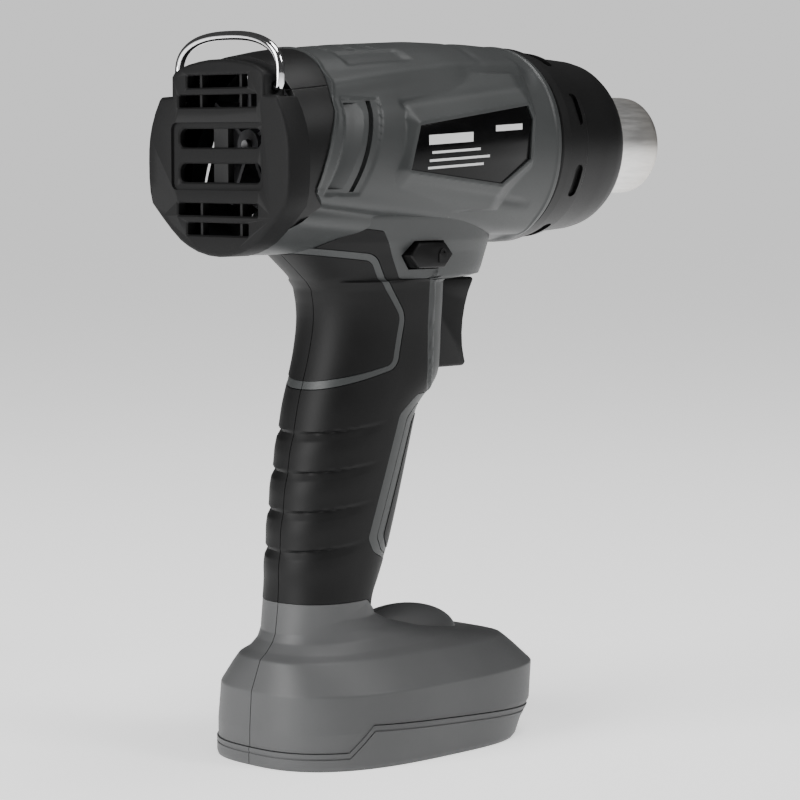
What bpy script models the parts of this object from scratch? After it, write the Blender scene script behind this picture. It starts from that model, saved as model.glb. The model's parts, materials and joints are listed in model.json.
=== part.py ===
"""Cordless heat gun: clamshell body, overmoulded grip, steel nozzle, folding bail and a drop-out battery pack.

X runs from the vented rear cap to the nozzle, Z is up, and the seam of the two halves is the plane Y = 0.
The origin is on the surface that the foot stands on, under the middle of the gun.
"""
import bpy
import bmesh
from math import cos, sin, pi, copysign
from mathutils import Matrix, Vector

# Overall places, in metres
REAR_X = -0.100
MOUTH_X = 0.100
AXIS_Z = 0.204
GAP = 0.0003            # between pieces that touch
WALL = 0.0024           # moulded wall
SKIN = 0.0018           # soft cover over the grip core
FAR = 0.150             # past every piece, for cutters

# Barrel: station x, centre z, half width, half height
BODY_STATIONS = (
    (-0.0955, 0.2000, 0.0325, 0.0318),
    (-0.0780, 0.2015, 0.0332, 0.0334),
    (-0.0500, 0.2030, 0.0338, 0.0342),
    (-0.0170, 0.2040, 0.0342, 0.0350),
    (0.0285, 0.2040, 0.0341, 0.0341),
)
# Grip: z, rear x, front x, half width
GRIP_STATIONS = (
    (0.0400, -0.0755, -0.0405, 0.0170),
    (0.0523, -0.0741, -0.0375, 0.0172),
    (0.0696, -0.0731, -0.0305, 0.0178),
    (0.0957, -0.0695, -0.0225, 0.0188),
    (0.1095, -0.0665, -0.0185, 0.0192),
    (0.1236, -0.0633, -0.0150, 0.0196),
    (0.1427, -0.0577, -0.0120, 0.0200),
    (0.1560, -0.0585, -0.0112, 0.0214),
    (0.1600, -0.0630, 0.0125, 0.0222),
    (0.1720, -0.0760, 0.0180, 0.0240),
    (0.1850, -0.0800, 0.0180, 0.0250),
)
# Foot: z, rear x, front x, half width
FOOT_STATIONS = (
    (0.0000, -0.0868, 0.0140, 0.0366),
    (0.0060, -0.0873, 0.0185, 0.0370),
    (0.0125, -0.0872, 0.0275, 0.0370),
    (0.0244, -0.0866, 0.0300, 0.0360),
    (0.0310, -0.0842, 0.0255, 0.0310),
    (0.0344, -0.0826, 0.0200, 0.0275),
    (0.0385, -0.0785, -0.0100, 0.0225),
    (0.0467, -0.0750, -0.0370, 0.0180),
    (0.0522, -0.0742, -0.0374, 0.0173),
)
BODY_POWER = 2.1
GRIP_POWER = 2.3
FOOT_POWER = 2.6
RING_POINTS = 28

# Seams of the rear pieces and of the battery pack
CAP_FRONT_X = -0.0910
SHROUD_TOP = (-0.0760, 0.2220)       # x and z where the black rear section meets the body and the hood
SHROUD_LEAN = 0.27                   # how far its front edge leans back for each metre down
COLLAR_REAR_X = 0.0288
COLLAR_FRONT_X = 0.0687
BAND_SEAM = ((-0.1500, 0.0060), (-0.0705, 0.0060), (-0.0620, 0.0144), (0.0237, 0.0098), (0.1500, 0.0098))
COVER_BOTTOM_Z = 0.0526
COVER_TOP_Z = 0.1760
STRIP = 0.0024                       # the core's line that shows between soft panels
THUMB_PANEL = (                      # x and z of the thumb panel's outline
    (-0.0800, 0.1710), (-0.0500, 0.1685), (-0.0343, 0.1470), (-0.0376, 0.1300), (-0.0560, 0.1240),
    (-0.0800, 0.1200),
)
FINGER_PAD = ((-0.0240, 0.1132), (-0.0270, 0.1108), (-0.0410, 0.0735), (-0.0375, 0.0688), (0.0100, 0.0688), (0.0100, 0.1132))
PAD_FRAME = (                        # the grey border round the finger pad
    (-0.0265, 0.1203), (-0.0355, 0.1140), (-0.0493, 0.0732), (-0.0465, 0.0685), (-0.0380, 0.0650),
    (0.0100, 0.0650), (0.0100, 0.1203),
)

# Rear cap outline: y and z of one side, from the bottom to the top of the neck
CAP_OUTLINE = (
    (0.0, 0.1679), (0.0100, 0.1692), (0.0186, 0.1728), (0.0275, 0.1799), (0.0327, 0.1847), (0.0343, 0.1930),
    (0.0343, 0.2025), (0.0330, 0.2100), (0.0290, 0.2180), (0.0270, 0.2195), (0.0223, 0.2197),
    (0.0223, 0.2262), (0.0180, 0.2290), (0.0095, 0.2308), (0.0, 0.2313),
)
CAP_SLOTS = (                        # centre z, half height, half width
    (0.2243, 0.0021, 0.0150), (0.2180, 0.0021, 0.0190), (0.2061, 0.0030, 0.0200),
    (0.1948, 0.0030, 0.0200), (0.1832, 0.0020, 0.0195), (0.1768, 0.0020, 0.0150),
)

# Folding bail
BAIL_X = -0.0945
BAIL_Z = 0.2222
BAIL_TOP_Z = 0.2404
BAIL_HALF = 0.0258
BAIL_R = 0.0015

# Air path
NOZZLE_R = 0.0175
NOZZLE_WALL = 0.0010
NOZZLE_REAR_X = 0.0400
MOTOR_R = 0.0140
MOTOR_X = (-0.0620, -0.0240)
FAN_X = (-0.0865, -0.0740)
FAN_R = 0.0225
SHAFT_R = 0.0015
MICA_SLEEVE = (0.0161, 0.0155, 0.0420, 0.0880)      # outer radius, inner radius, rear x, front x
HEAT_SHIELD = (0.0240, 0.0234, 0.0330, 0.0640)
HEATER_BASE = (0.0160, 0.0060, 0.0345, 0.0385)
CARD = (0.0114, 0.0006, 0.0390, 0.0870)             # half width, half thickness, rear x, front x
CUTOUT_BOX = ((0.0240, -0.0040, 0.2140), (0.0320, 0.0040, 0.2180))
COIL_X = (0.0440, 0.0840)
COIL_WIRE_R = 0.0006
MOUNT_RING = (0.0280, 0.0262)
MOUNT_X = (-0.0500, -0.0400)
BLADES = 7
BLADE_HALF = 0.0006
ARMATURE_R = 0.0100
CAN_WALL = 0.0015
COIL_TURNS = 6
COIL_R = 0.0126

# Controls
TRIGGER_Z = (0.1275, 0.1585)
TRIGGER_HALF = 0.0078
TRIGGER_EDGE = 0.0014
TRIGGER_OUTLINE = (                  # x and z, round the side from the lower inner corner
    (-0.0150, 0.1280), (0.0060, 0.1275), (0.0082, 0.1283), (0.0066, 0.1360), (0.0064, 0.1420), (0.0078, 0.1490),
    (0.0118, 0.1573), (0.0108, 0.1585), (-0.0150, 0.1585),
)
PLUNGER_X = (-0.0260, -0.0153)
PLUNGER_R = 0.0018
SWITCH_Z = 0.1450
SWITCH_BOX = ((-0.0440, -0.0085, 0.1300), (-0.0235, 0.0085, 0.1560))
FRAME_X = -0.0240                    # where the soft covers stop for the trigger's frame
FRAME_DROP = 0.006
LOCK_X = -0.0278
LOCK_Z = 0.1674
LOCK_HALF = (0.0102, 0.0043)
LOCK_TAPER = 0.0040
LOCK_REACH = 0.0265

# Rating plates and the control board
PLATE_Y = (0.0347, 0.0353)
PLATE_OUTLINE = (
    (-0.0424, 0.2103), (0.0088, 0.2172), (0.0113, 0.2129), (0.0102, 0.1993), (-0.0038, 0.1912), (-0.0468, 0.1959),
)
CONTROL_BOARD = ((-0.0200, -0.0160, 0.1800), (0.0100, 0.0160, 0.1816))

# Battery cells and screws
CELL_R = 0.0090
CELL_PITCH = 0.0185
CELL_X = (-0.0610, 0.0040)
CELL_Z = 0.0120
BLOCK_TOP_Z = 0.0260
BLOCK_INSET = 0.0038
BLOCK_FRONT_X = 0.0140
BLOCK_TOP = (-0.0840, 0.0120, 0.0350)         # rear x, front x and half width of the block's top
CELL_BAY = (0.0280, 0.0026, 0.0244)           # half width, low z and high z
RELEASE_BOX = ((0.0190, -0.0080, 0.0170), (0.0306, 0.0080, 0.0250))
BATTERY_BOARD = ((-0.0560, -0.0200, 0.0216), (-0.0020, 0.0200, 0.0230))
TERMINAL_BOX = ((-0.0660, -0.0090, 0.0290), (-0.0500, 0.0090, 0.0340))
CONTACT_Y = 0.0050
CONTACT_HALF = 0.0005
CONTACT_X = (-0.0630, -0.0530)
CONTACT_TOP_Z = 0.0325
SCREWS = (                           # x, z and how far each screw's head stands from the seam
    (-0.0620, 0.1780, 0.0215), (0.0180, 0.1790, 0.0215), (-0.0200, 0.2310, 0.0182),
    (-0.0660, 0.2280, 0.0184), (-0.0480, 0.1060, 0.0142), (-0.0640, 0.0480, 0.0120),
)
BOSS_R = 0.0044
BOSS_BITE = 0.0012                   # how far a boss runs into the wall
SCREW_R = 0.0013
HEAD_R = 0.0027
HEAD_DEPTH = 0.0022

BLACK = (0.018, 0.018, 0.019)
DARK = (0.050, 0.052, 0.055)
GREY = (0.130, 0.142, 0.150)
FOOT_GREY = (0.180, 0.190, 0.195)
STEEL = (0.620, 0.610, 0.590)
CERAMIC = (0.780, 0.760, 0.720)
COPPER = (0.620, 0.330, 0.160)
GREEN = (0.020, 0.180, 0.080)
BLUE = (0.050, 0.160, 0.420)

for old in list(bpy.data.objects):
    bpy.data.objects.remove(old, do_unlink=True)

parts = bpy.data.collections.new("heat_gun")
cutters = bpy.data.collections.new("cutters")
bpy.context.scene.collection.children.link(parts)
bpy.context.scene.collection.children.link(cutters)


def place(name, mesh, collection):
    thing = bpy.data.objects.new(name, mesh)
    collection.objects.link(thing)
    if collection is cutters:
        thing.hide_render = True
        thing.display_type = "WIRE"
    return thing


def finish(piece, colour, roughness, metallic=0.0):
    """Gives a piece its own material and smooth shading with sharp corners."""
    material = bpy.data.materials.new(piece.name)
    material.use_nodes = True
    shader = material.node_tree.nodes["Principled BSDF"]
    shader.inputs["Base Color"].default_value = (*colour, 1.0)
    shader.inputs["Roughness"].default_value = roughness
    shader.inputs["Metallic"].default_value = metallic
    piece.data.materials.append(material)
    if piece.type == "MESH":
        piece.data.shade_smooth()
        piece.data.set_sharp_from_angle(angle=pi / 6)
    return piece


def boolean(piece, cutter, operation="DIFFERENCE", solver="EXACT"):
    step = piece.modifiers.new(cutter.name, "BOOLEAN")
    step.operation = operation
    step.solver = solver
    step.object = cutter
    return piece


def from_bmesh(name, shape, collection):
    bmesh.ops.recalc_face_normals(shape, faces=shape.faces)
    mesh = bpy.data.meshes.new(name)
    shape.to_mesh(mesh)
    shape.free()
    return place(name, mesh, collection)


def box(name, low, high, collection=parts):
    shape = bmesh.new()
    bmesh.ops.create_cube(shape, size=1.0)
    size = [b - a for a, b in zip(low, high)]
    centre = [(a + b) / 2 for a, b in zip(low, high)]
    bmesh.ops.transform(shape, matrix=Matrix.Translation(centre) @ Matrix.Diagonal((*size, 1.0)),
                        verts=shape.verts)
    return from_bmesh(name, shape, collection)


def prism(name, outline, low_y, high_y, collection=cutters):
    """An outline of x and z pairs, drawn out along Y."""
    shape = bmesh.new()
    face = shape.faces.new([shape.verts.new((x, low_y, z)) for x, z in outline])
    drawn = bmesh.ops.extrude_face_region(shape, geom=[face])
    moved = [v for v in drawn["geom"] if isinstance(v, bmesh.types.BMVert)]
    bmesh.ops.translate(shape, verts=moved, vec=(0, high_y - low_y, 0))
    return from_bmesh(name, shape, collection)


def slab(name, outline, low_x, high_x, collection=parts):
    """An outline of y and z pairs, drawn out along X."""
    shape = bmesh.new()
    face = shape.faces.new([shape.verts.new((low_x, y, z)) for y, z in outline])
    drawn = bmesh.ops.extrude_face_region(shape, geom=[face])
    moved = [v for v in drawn["geom"] if isinstance(v, bmesh.types.BMVert)]
    bmesh.ops.translate(shape, verts=moved, vec=(high_x - low_x, 0, 0))
    return from_bmesh(name, shape, collection)


def turned(name, profile, at, axis="X", closed=False, steps=24, collection=parts):
    """A profile of radius and height pairs, turned about an axis through a point.

    The outer side runs from the top down; a closed profile comes back up its inner side.
    """
    mesh = bpy.data.meshes.new(name)
    edges = [(i, i + 1) for i in range(len(profile) - 1)]
    if closed:
        edges.append((len(profile) - 1, 0))
    mesh.from_pydata([(r, 0, h) for r, h in profile], edges, [])
    piece = place(name, mesh, collection)
    piece.location = at
    piece.rotation_euler = {"X": (0, pi / 2, 0), "Y": (-pi / 2, 0, 0), "Z": (0, 0, 0)}[axis]
    screw = piece.modifiers.new("turn", "SCREW")
    screw.steps = steps
    screw.render_steps = steps
    screw.use_merge_vertices = True
    screw.merge_threshold = 0.00001
    return piece


def tube(name, outer, inner, low, high, at=(0, 0, AXIS_Z), axis="X", steps=24, collection=parts):
    return turned(name, ((outer, high), (outer, low), (inner, low), (inner, high)), at, axis, True, steps, collection)


def rod(name, radius, low, high, at=(0, 0, AXIS_Z), axis="X", steps=20, collection=parts):
    return turned(name, ((0, high), (radius, high), (radius, low), (0, low)), at, axis, False, steps, collection)


def wire(name, points, radius, sides=2):
    """A round wire along a list of points, with its ends filled."""
    curve = bpy.data.curves.new(name, "CURVE")
    curve.dimensions = "3D"
    curve.bevel_depth = radius
    curve.bevel_resolution = sides
    curve.use_fill_caps = True
    spline = curve.splines.new("POLY")
    spline.points.add(len(points) - 1)
    for knot, point in zip(spline.points, points):
        knot.co = (*point, 1.0)
    return place(name, curve, parts)


def oval(half_a, half_b, power):
    """Points round a rounded outline; a power of 2 is an ellipse and a higher one is squarer."""
    points = []
    for i in range(RING_POINTS):
        turn = 2 * pi * i / RING_POINTS
        a = copysign(abs(cos(turn)) ** (2 / power), cos(turn)) * half_a
        b = copysign(abs(sin(turn)) ** (2 / power), sin(turn)) * half_b
        points.append((a, b))
    return points


def loft(name, rings, collection=cutters):
    """A closed skin through rings that all have the same number of points."""
    shape = bmesh.new()
    rows = [[shape.verts.new(point) for point in ring] for ring in rings]
    for low, high in zip(rows, rows[1:]):
        for i in range(len(low)):
            j = (i + 1) % len(low)
            shape.faces.new((low[i], low[j], high[j], high[i]))
    shape.faces.new(reversed(rows[0]))
    shape.faces.new(rows[-1])
    return from_bmesh(name, shape, collection)


def barrel(name, inset, reach=0.0, collection=cutters):
    """The barrel's form, drawn in by an inset; reach carries both of its ends on."""
    rings = []
    for index, (x, centre, half_w, half_h) in enumerate(BODY_STATIONS):
        end = {0: -reach, len(BODY_STATIONS) - 1: reach}.get(index, 0.0)
        outline = oval(half_w - inset, half_h - inset, BODY_POWER)
        rings.append([(x + end, y, centre + z) for y, z in outline])
    return loft(name, rings, collection)


def upright(name, stations, power, inset, collection=cutters, below=0.0, above=0.0):
    """A form stacked in Z from plan outlines, each drawn in by an inset; below and above carry its ends on."""
    rings = []
    for index, (z, rear, front, half_w) in enumerate(stations):
        end = {0: -below, len(stations) - 1: above}.get(index, 0.0)
        outline = oval((front - rear) / 2 - inset, half_w - inset, power)
        rings.append([((front + rear) / 2 + x, y, z + end) for x, y in outline])
    return loft(name, rings, collection)


def grown(outline, by):
    """An outline's corners moved away from its middle."""
    middle_x = sum(x for x, _ in outline) / len(outline)
    middle_z = sum(z for _, z in outline) / len(outline)
    moved = []
    for x, z in outline:
        away = Vector((x - middle_x, z - middle_z))
        away.normalize()
        moved.append((x + away.x * by, z + away.y * by))
    return moved


def pivot(name, at):
    """An empty on a joint's axis, which carries the pieces that move there."""
    empty = bpy.data.objects.new(name, None)
    empty.location = at
    parts.objects.link(empty)
    return empty


def hang(piece, empty):
    piece.parent = empty
    piece.matrix_parent_inverse = Matrix.Translation(empty.location).inverted()
    return piece


# Cutters that several pieces share
half_spaces = {
    "right": box("right_side", (-FAR, -FAR, -FAR), (FAR, -GAP / 2, 2 * FAR), cutters),
    "left": box("left_side", (-FAR, GAP / 2, -FAR), (FAR, FAR, 2 * FAR), cutters),
}
SIDES = {"right": -1, "left": 1}
grip_core = upright("grip_core", GRIP_STATIONS, GRIP_POWER, SKIN + 2 * GAP)
grip_hollow = upright("grip_hollow", GRIP_STATIONS, GRIP_POWER, SKIN + WALL, below=0.012, above=0.002)
grip_top = box("grip_top", (-FAR, -FAR, COVER_TOP_Z), (FAR, FAR, FAR * 2), cutters)
grip_root = box("grip_root", (-FAR, -FAR, -FAR), (FAR, FAR, COVER_BOTTOM_Z), cutters)
foot_outer = upright("foot_outer", FOOT_STATIONS, FOOT_POWER, 0.0)
foot_hollow = upright("foot_hollow", FOOT_STATIONS[:-4], FOOT_POWER, WALL, below=0.002)
barrel_hollow = barrel("barrel_hollow", WALL, 0.01)
barrel_skirt = barrel("barrel_skirt", -2 * GAP)
barrel_bound = barrel("barrel_bound", GAP)
band_cut = prism("band_cut", [(x, z + GAP) for x, z in BAND_SEAM] + [(FAR, -FAR), (-FAR, -FAR)], -FAR, FAR)
band_top = prism("band_top", list(BAND_SEAM) + [(FAR, FAR), (-FAR, FAR)], -FAR, FAR)
shroud_drop = SHROUD_TOP[1] - 0.14
rear_cut = prism("rear_cut", (
    (-FAR, 0.26), (SHROUD_TOP[0] + GAP, 0.26), (SHROUD_TOP[0] + GAP, SHROUD_TOP[1]),
    (SHROUD_TOP[0] + GAP - SHROUD_LEAN * shroud_drop, 0.14), (-FAR, 0.14)), -FAR, FAR)
trigger_slot = box("trigger_slot", (-0.0300, -TRIGGER_HALF - 0.0006, TRIGGER_Z[0] - 0.0010),
                   (0.0300, TRIGGER_HALF + 0.0006, TRIGGER_Z[1] + 0.0008), cutters)
lock_outline = (
    (LOCK_X - LOCK_HALF[0], LOCK_Z), (LOCK_X - LOCK_HALF[0] + LOCK_TAPER, LOCK_Z + LOCK_HALF[1]),
    (LOCK_X + LOCK_HALF[0] - LOCK_TAPER, LOCK_Z + LOCK_HALF[1]), (LOCK_X + LOCK_HALF[0], LOCK_Z),
    (LOCK_X + LOCK_HALF[0] - LOCK_TAPER, LOCK_Z - LOCK_HALF[1]), (LOCK_X - LOCK_HALF[0] + LOCK_TAPER, LOCK_Z - LOCK_HALF[1]))
lock_slot = prism("lock_slot", grown(lock_outline, 0.0006), -FAR, FAR)
thumb_hole = prism("thumb_hole", grown(THUMB_PANEL, STRIP), -FAR, FAR)
pad_hole = prism("pad_hole", PAD_FRAME, -FAR, FAR)
thumb_shape = prism("thumb_shape", THUMB_PANEL, -FAR, FAR)
pad_shape = prism("pad_shape", FINGER_PAD, -FAR, FAR)
trigger_frame = box("trigger_frame", (FRAME_X, -FAR, TRIGGER_Z[0] - FRAME_DROP), (FAR, FAR, 2 * FAR), cutters)
release_slot = box("release_slot", (RELEASE_BOX[0][0] - 0.009, RELEASE_BOX[0][1] - 0.0005, RELEASE_BOX[0][2] - 0.0005),
                   (RELEASE_BOX[1][0] + 0.009, RELEASE_BOX[1][1] + 0.0005, RELEASE_BOX[1][2] + 0.0005), cutters)


def screw_hole(number):
    x, z, reach = SCREWS[number]
    return turned(f"screw_hole_{number + 1}", (
        (0, FAR), (HEAD_R + 0.0004, FAR), (HEAD_R + 0.0004, reach - HEAD_DEPTH - GAP),
        (SCREW_R + GAP, reach - HEAD_DEPTH - GAP), (SCREW_R + GAP, 0.003 - reach), (0, 0.003 - reach)),
        (x, 0, z), "Y", steps=12, collection=cutters)


def boss(number):
    """A round post from wall to wall, kept inside the barrel's skin."""
    x, z, reach = SCREWS[number]
    post = rod(f"boss_{number + 1}", BOSS_R, -reach - BOSS_BITE, reach + BOSS_BITE, (x, 0, z), "Y", 12, cutters)
    if z > COVER_TOP_Z:
        boolean(post, barrel_bound, "INTERSECT", "MANIFOLD")
    return post


screw_holes = [screw_hole(i) for i in range(len(SCREWS))]
bosses = [boss(i) for i in range(len(SCREWS))]


def housing(side):
    """One half of the grey clamshell: barrel, grip core and foot in one hollow moulding."""
    half = barrel(f"{side}_housing", 0.0, collection=parts)
    for added in (grip_core, foot_outer):
        boolean(half, added, "UNION", "MANIFOLD")
    for hollow in (barrel_hollow, grip_hollow, foot_hollow):
        boolean(half, hollow, "DIFFERENCE", "MANIFOLD")
    for added in bosses:
        boolean(half, added, "UNION", "MANIFOLD")
    for cut in [band_cut, rear_cut, trigger_slot, lock_slot, release_slot] + screw_holes:
        boolean(half, cut, "DIFFERENCE", "MANIFOLD")
    boolean(half, half_spaces[side], "INTERSECT", "MANIFOLD")
    return finish(half, GREY, 0.45)


def grip_skin(name, shape, side=None):
    """A soft panel that follows the grip, kept to one outline seen from the side."""
    skin = upright(name, GRIP_STATIONS, GRIP_POWER, 0.0, parts)
    hollow = upright(f"{name}_hollow", GRIP_STATIONS, GRIP_POWER, SKIN, below=WALL, above=WALL)
    boolean(skin, hollow)
    boolean(skin, shape, "INTERSECT")
    if side:
        boolean(skin, half_spaces[side], "INTERSECT")
    boolean(skin, barrel_skirt)
    return skin


def grip_cover(side):
    skin = upright(f"{side}_grip_cover", GRIP_STATIONS, GRIP_POWER, 0.0, parts)
    hollow = upright(f"{side}_cover_hollow", GRIP_STATIONS, GRIP_POWER, SKIN, below=WALL, above=WALL)
    for cut in (hollow, grip_top, grip_root, barrel_skirt, thumb_hole, pad_hole, trigger_frame, lock_slot):
        boolean(skin, cut, "DIFFERENCE", "MANIFOLD")
    boolean(skin, half_spaces[side], "INTERSECT", "MANIFOLD")
    return finish(skin, BLACK, 0.75)


for side in SIDES:
    housing(side)
    grip_cover(side)
    finish(grip_skin(f"{side}_thumb_panel", thumb_shape, side), BLACK, 0.8)
finish(grip_skin("front_finger_pad", pad_shape), BLACK, 0.75)


def rear_cap():
    outline = list(CAP_OUTLINE) + [(-y, z) for y, z in CAP_OUTLINE[-2:0:-1]]
    cap = slab("rear_cap", outline, REAR_X, CAP_FRONT_X)
    hollow = [(y * 0.90, AXIS_Z + (z - AXIS_Z) * 0.90) for y, z in outline]
    boolean(cap, slab("cap_hollow", hollow, REAR_X + WALL, 0.0, cutters))
    for number, (z, half_h, half_w) in enumerate(CAP_SLOTS):
        boolean(cap, box(f"cap_slot_{number}", (REAR_X - 0.001, -half_w, z - half_h),
                         (REAR_X + 0.004, half_w, z + half_h), cutters))
    boolean(cap, rod("bail_bore", BAIL_R + 0.0004, -FAR, FAR, (BAIL_X, 0, BAIL_Z), "Y", 16, cutters))
    return finish(cap, DARK, 0.7)


def rear_section(name, keep_upper):
    """The black moulding between the cap and the body, parted into a lower ring and an upper hood."""
    piece = barrel(name, 0.0, collection=parts)
    boolean(piece, barrel(f"{name}_hollow", WALL, 0.01))
    edge_x, edge_z = SHROUD_TOP
    lower = (
        (CAP_FRONT_X + GAP, edge_z - GAP), (edge_x, edge_z - GAP),
        (edge_x - SHROUD_LEAN * (edge_z - 0.14), 0.14), (CAP_FRONT_X + GAP, 0.14))
    upper = ((CAP_FRONT_X + GAP, edge_z), (edge_x, edge_z), (edge_x, 0.26), (CAP_FRONT_X + GAP, 0.26))
    boolean(piece, prism(f"{name}_keep", upper if keep_upper else lower, -FAR, FAR), "INTERSECT")
    return finish(piece, BLACK, 0.4)


rear_cap()
rear_section("rear_shroud", False)
rear_section("rear_hood", True)


def bail():
    """A round wire bent to an arch, with short pins turned in at its feet."""
    stem_z = BAIL_TOP_Z - BAIL_R - 0.0120
    inner = BAIL_HALF - BAIL_R
    points = [(BAIL_X, 0.0190, BAIL_Z), (BAIL_X, inner, BAIL_Z)]
    for i in range(17):
        turn = pi * i / 16
        points.append((BAIL_X, inner * cos(turn), stem_z + (BAIL_TOP_Z - BAIL_R - stem_z) * sin(turn)))
    points += [(BAIL_X, -inner, BAIL_Z), (BAIL_X, -0.0190, BAIL_Z)]
    return finish(wire("hanging_bail", points, BAIL_R), STEEL, 0.1, 1.0)


hang(bail(), pivot("bail_axis", (BAIL_X, 0, BAIL_Z)))


def front_collar():
    """The black collar: a flange against the body, a step, and a rounded front that the nozzle passes through."""
    rear, front = COLLAR_REAR_X + GAP, COLLAR_FRONT_X
    outer = [(0.0210, front), (0.0270, front - 0.0006), (0.0292, front - 0.0026), (0.0300, front - 0.0060),
             (0.0315, rear + 0.0120), (0.0330, rear + 0.0060), (0.0341, rear + 0.0035), (0.0341, rear)]
    inner = [(0.0317, rear), (0.0290, rear + 0.0140), (0.0275, front - 0.0080), (0.0250, front - WALL),
             (NOZZLE_R + 0.0005, front - WALL), (NOZZLE_R + 0.0005, front)]
    return finish(turned("front_collar", outer + inner, (0, 0, AXIS_Z), closed=True, steps=32), BLACK, 0.6)


front_collar()
finish(tube("nozzle_tube", NOZZLE_R, NOZZLE_R - NOZZLE_WALL, NOZZLE_REAR_X, MOUTH_X), STEEL, 0.35, 1.0)
finish(tube("mica_sleeve", *MICA_SLEEVE), CERAMIC, 0.6)
finish(tube("heat_shield", *HEAT_SHIELD), STEEL, 0.4, 1.0)
finish(tube("heater_base", *HEATER_BASE), CERAMIC, 0.8)


def heater_former():
    """Two mica cards crossed along the axis."""
    half, card, low, high = CARD
    former = box("heater_former", (low, -half, AXIS_Z - card), (high, half, AXIS_Z + card))
    upright_card = box("upright_card", (low, -card, AXIS_Z - half), (high, card, AXIS_Z + half), cutters)
    return finish(boolean(former, upright_card, "UNION"), CERAMIC, 0.7)


def heater_coil():
    per_turn, (low, high) = 8, COIL_X
    count = COIL_TURNS * per_turn
    points = []
    for i in range(count + 1):
        turn = 2 * pi * i / per_turn
        points.append((low + (high - low) * i / count, COIL_R * cos(turn), AXIS_Z + COIL_R * sin(turn)))
    return finish(wire("heater_coil", points, COIL_WIRE_R, 1), COPPER, 0.4, 1.0)


heater_former()
heater_coil()
finish(box("thermal_cutout", *CUTOUT_BOX), STEEL, 0.4, 1.0)

# Fan and motor
motor_low, motor_high = MOTOR_X
finish(turned("motor_can", (
    (SHAFT_R + 0.0005, motor_high), (MOTOR_R, motor_high), (MOTOR_R, motor_low), (SHAFT_R + 0.0005, motor_low),
    (SHAFT_R + 0.0005, motor_low + CAN_WALL), (MOTOR_R - CAN_WALL, motor_low + CAN_WALL),
    (MOTOR_R - CAN_WALL, motor_high - CAN_WALL), (SHAFT_R + 0.0005, motor_high - CAN_WALL)),
    (0, 0, AXIS_Z), closed=True), STEEL, 0.35, 1.0)


def motor_mount():
    """A spider that holds the motor in the middle of the barrel."""
    ring = tube("motor_mount", *MOUNT_RING, *MOUNT_X, steps=20)
    hub = tube("mount_hub", MOTOR_R + 0.0020, MOTOR_R + 2 * GAP, *MOUNT_X, steps=20, collection=cutters)
    boolean(ring, hub, "UNION")
    for i in range(4):
        arm = box(f"mount_arm_{i}", (MOUNT_X[0], -0.0010, MOTOR_R + 0.0010), (MOUNT_X[1], 0.0010, 0.0270), cutters)
        arm.location = (0, 0, AXIS_Z)
        arm.rotation_euler = (pi / 4 + i * pi / 2, 0, 0)
        boolean(ring, arm, "UNION")
    return finish(ring, DARK, 0.6)


motor_mount()
rotor = pivot("rotor_axis", (motor_low, 0, AXIS_Z))
hang(finish(rod("motor_shaft", SHAFT_R, -0.0880, motor_high + 0.004, steps=16), STEEL, 0.25, 1.0), rotor)
hang(finish(tube("motor_armature", ARMATURE_R, SHAFT_R + GAP, motor_low + 0.006, motor_high - 0.006), COPPER, 0.5, 0.6),
     rotor)


def fan_impeller():
    """A hub and back plate with seven swept blades."""
    low, high = FAN_X
    fan = turned("fan_impeller", (
        (SHAFT_R + GAP, high), (FAN_R, high), (FAN_R, high - 0.0015), (0.0065, high - 0.0015), (0.0050, low),
        (SHAFT_R + GAP, low)), (0, 0, AXIS_Z), closed=True)
    for i in range(BLADES):
        blade = box(f"blade_{i}", (low + 0.001, -BLADE_HALF, 0.0045), (high - 0.0008, BLADE_HALF, FAN_R - 0.0008), cutters)
        blade.location = (0, 0, AXIS_Z)
        blade.rotation_euler = (2 * pi * i / BLADES, 0, 0)
        boolean(fan, blade, "UNION")
    return finish(fan, DARK, 0.5)


hang(fan_impeller(), rotor)

# Trigger with its plunger, which slide back into the grip
trigger_axis = pivot("trigger_slide", (0.0, 0, (TRIGGER_Z[0] + TRIGGER_Z[1]) / 2))
trigger = prism("trigger", TRIGGER_OUTLINE, -TRIGGER_HALF, TRIGGER_HALF, parts)
bevel = trigger.modifiers.new("edges", "BEVEL")
bevel.width = TRIGGER_EDGE
bevel.segments = 2
bevel.limit_method = "ANGLE"
bevel.angle_limit = pi / 4
hang(finish(trigger, BLACK, 0.6), trigger_axis)
plunger = rod("switch_plunger", PLUNGER_R, *PLUNGER_X, (0, 0, SWITCH_Z), steps=12)
hang(finish(plunger, DARK, 0.5), trigger_axis)
switch = box("switch_body", *SWITCH_BOX)
boolean(switch, rod("plunger_bore", PLUNGER_R + 0.0004, PLUNGER_X[0] - 0.0085, 0.0, (0, 0, SWITCH_Z), steps=16,
                    collection=cutters))
finish(switch, DARK, 0.5)

# Lock-off button: one piece that crosses the grip and stands out on both sides
lock = prism("lock_button", lock_outline, -LOCK_REACH, LOCK_REACH, parts)
hang(finish(lock, BLACK, 0.5), pivot("lock_slide", (LOCK_X, 0, LOCK_Z)))

# Rating plates on the barrel's sides
for side, sign in SIDES.items():
    low_y, high_y = sorted(sign * y for y in PLATE_Y)
    finish(prism(f"{side}_label_plate", PLATE_OUTLINE, low_y, high_y, parts), BLACK, 0.15)

finish(box("control_board", *CONTROL_BOARD), GREEN, 0.5)


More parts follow.
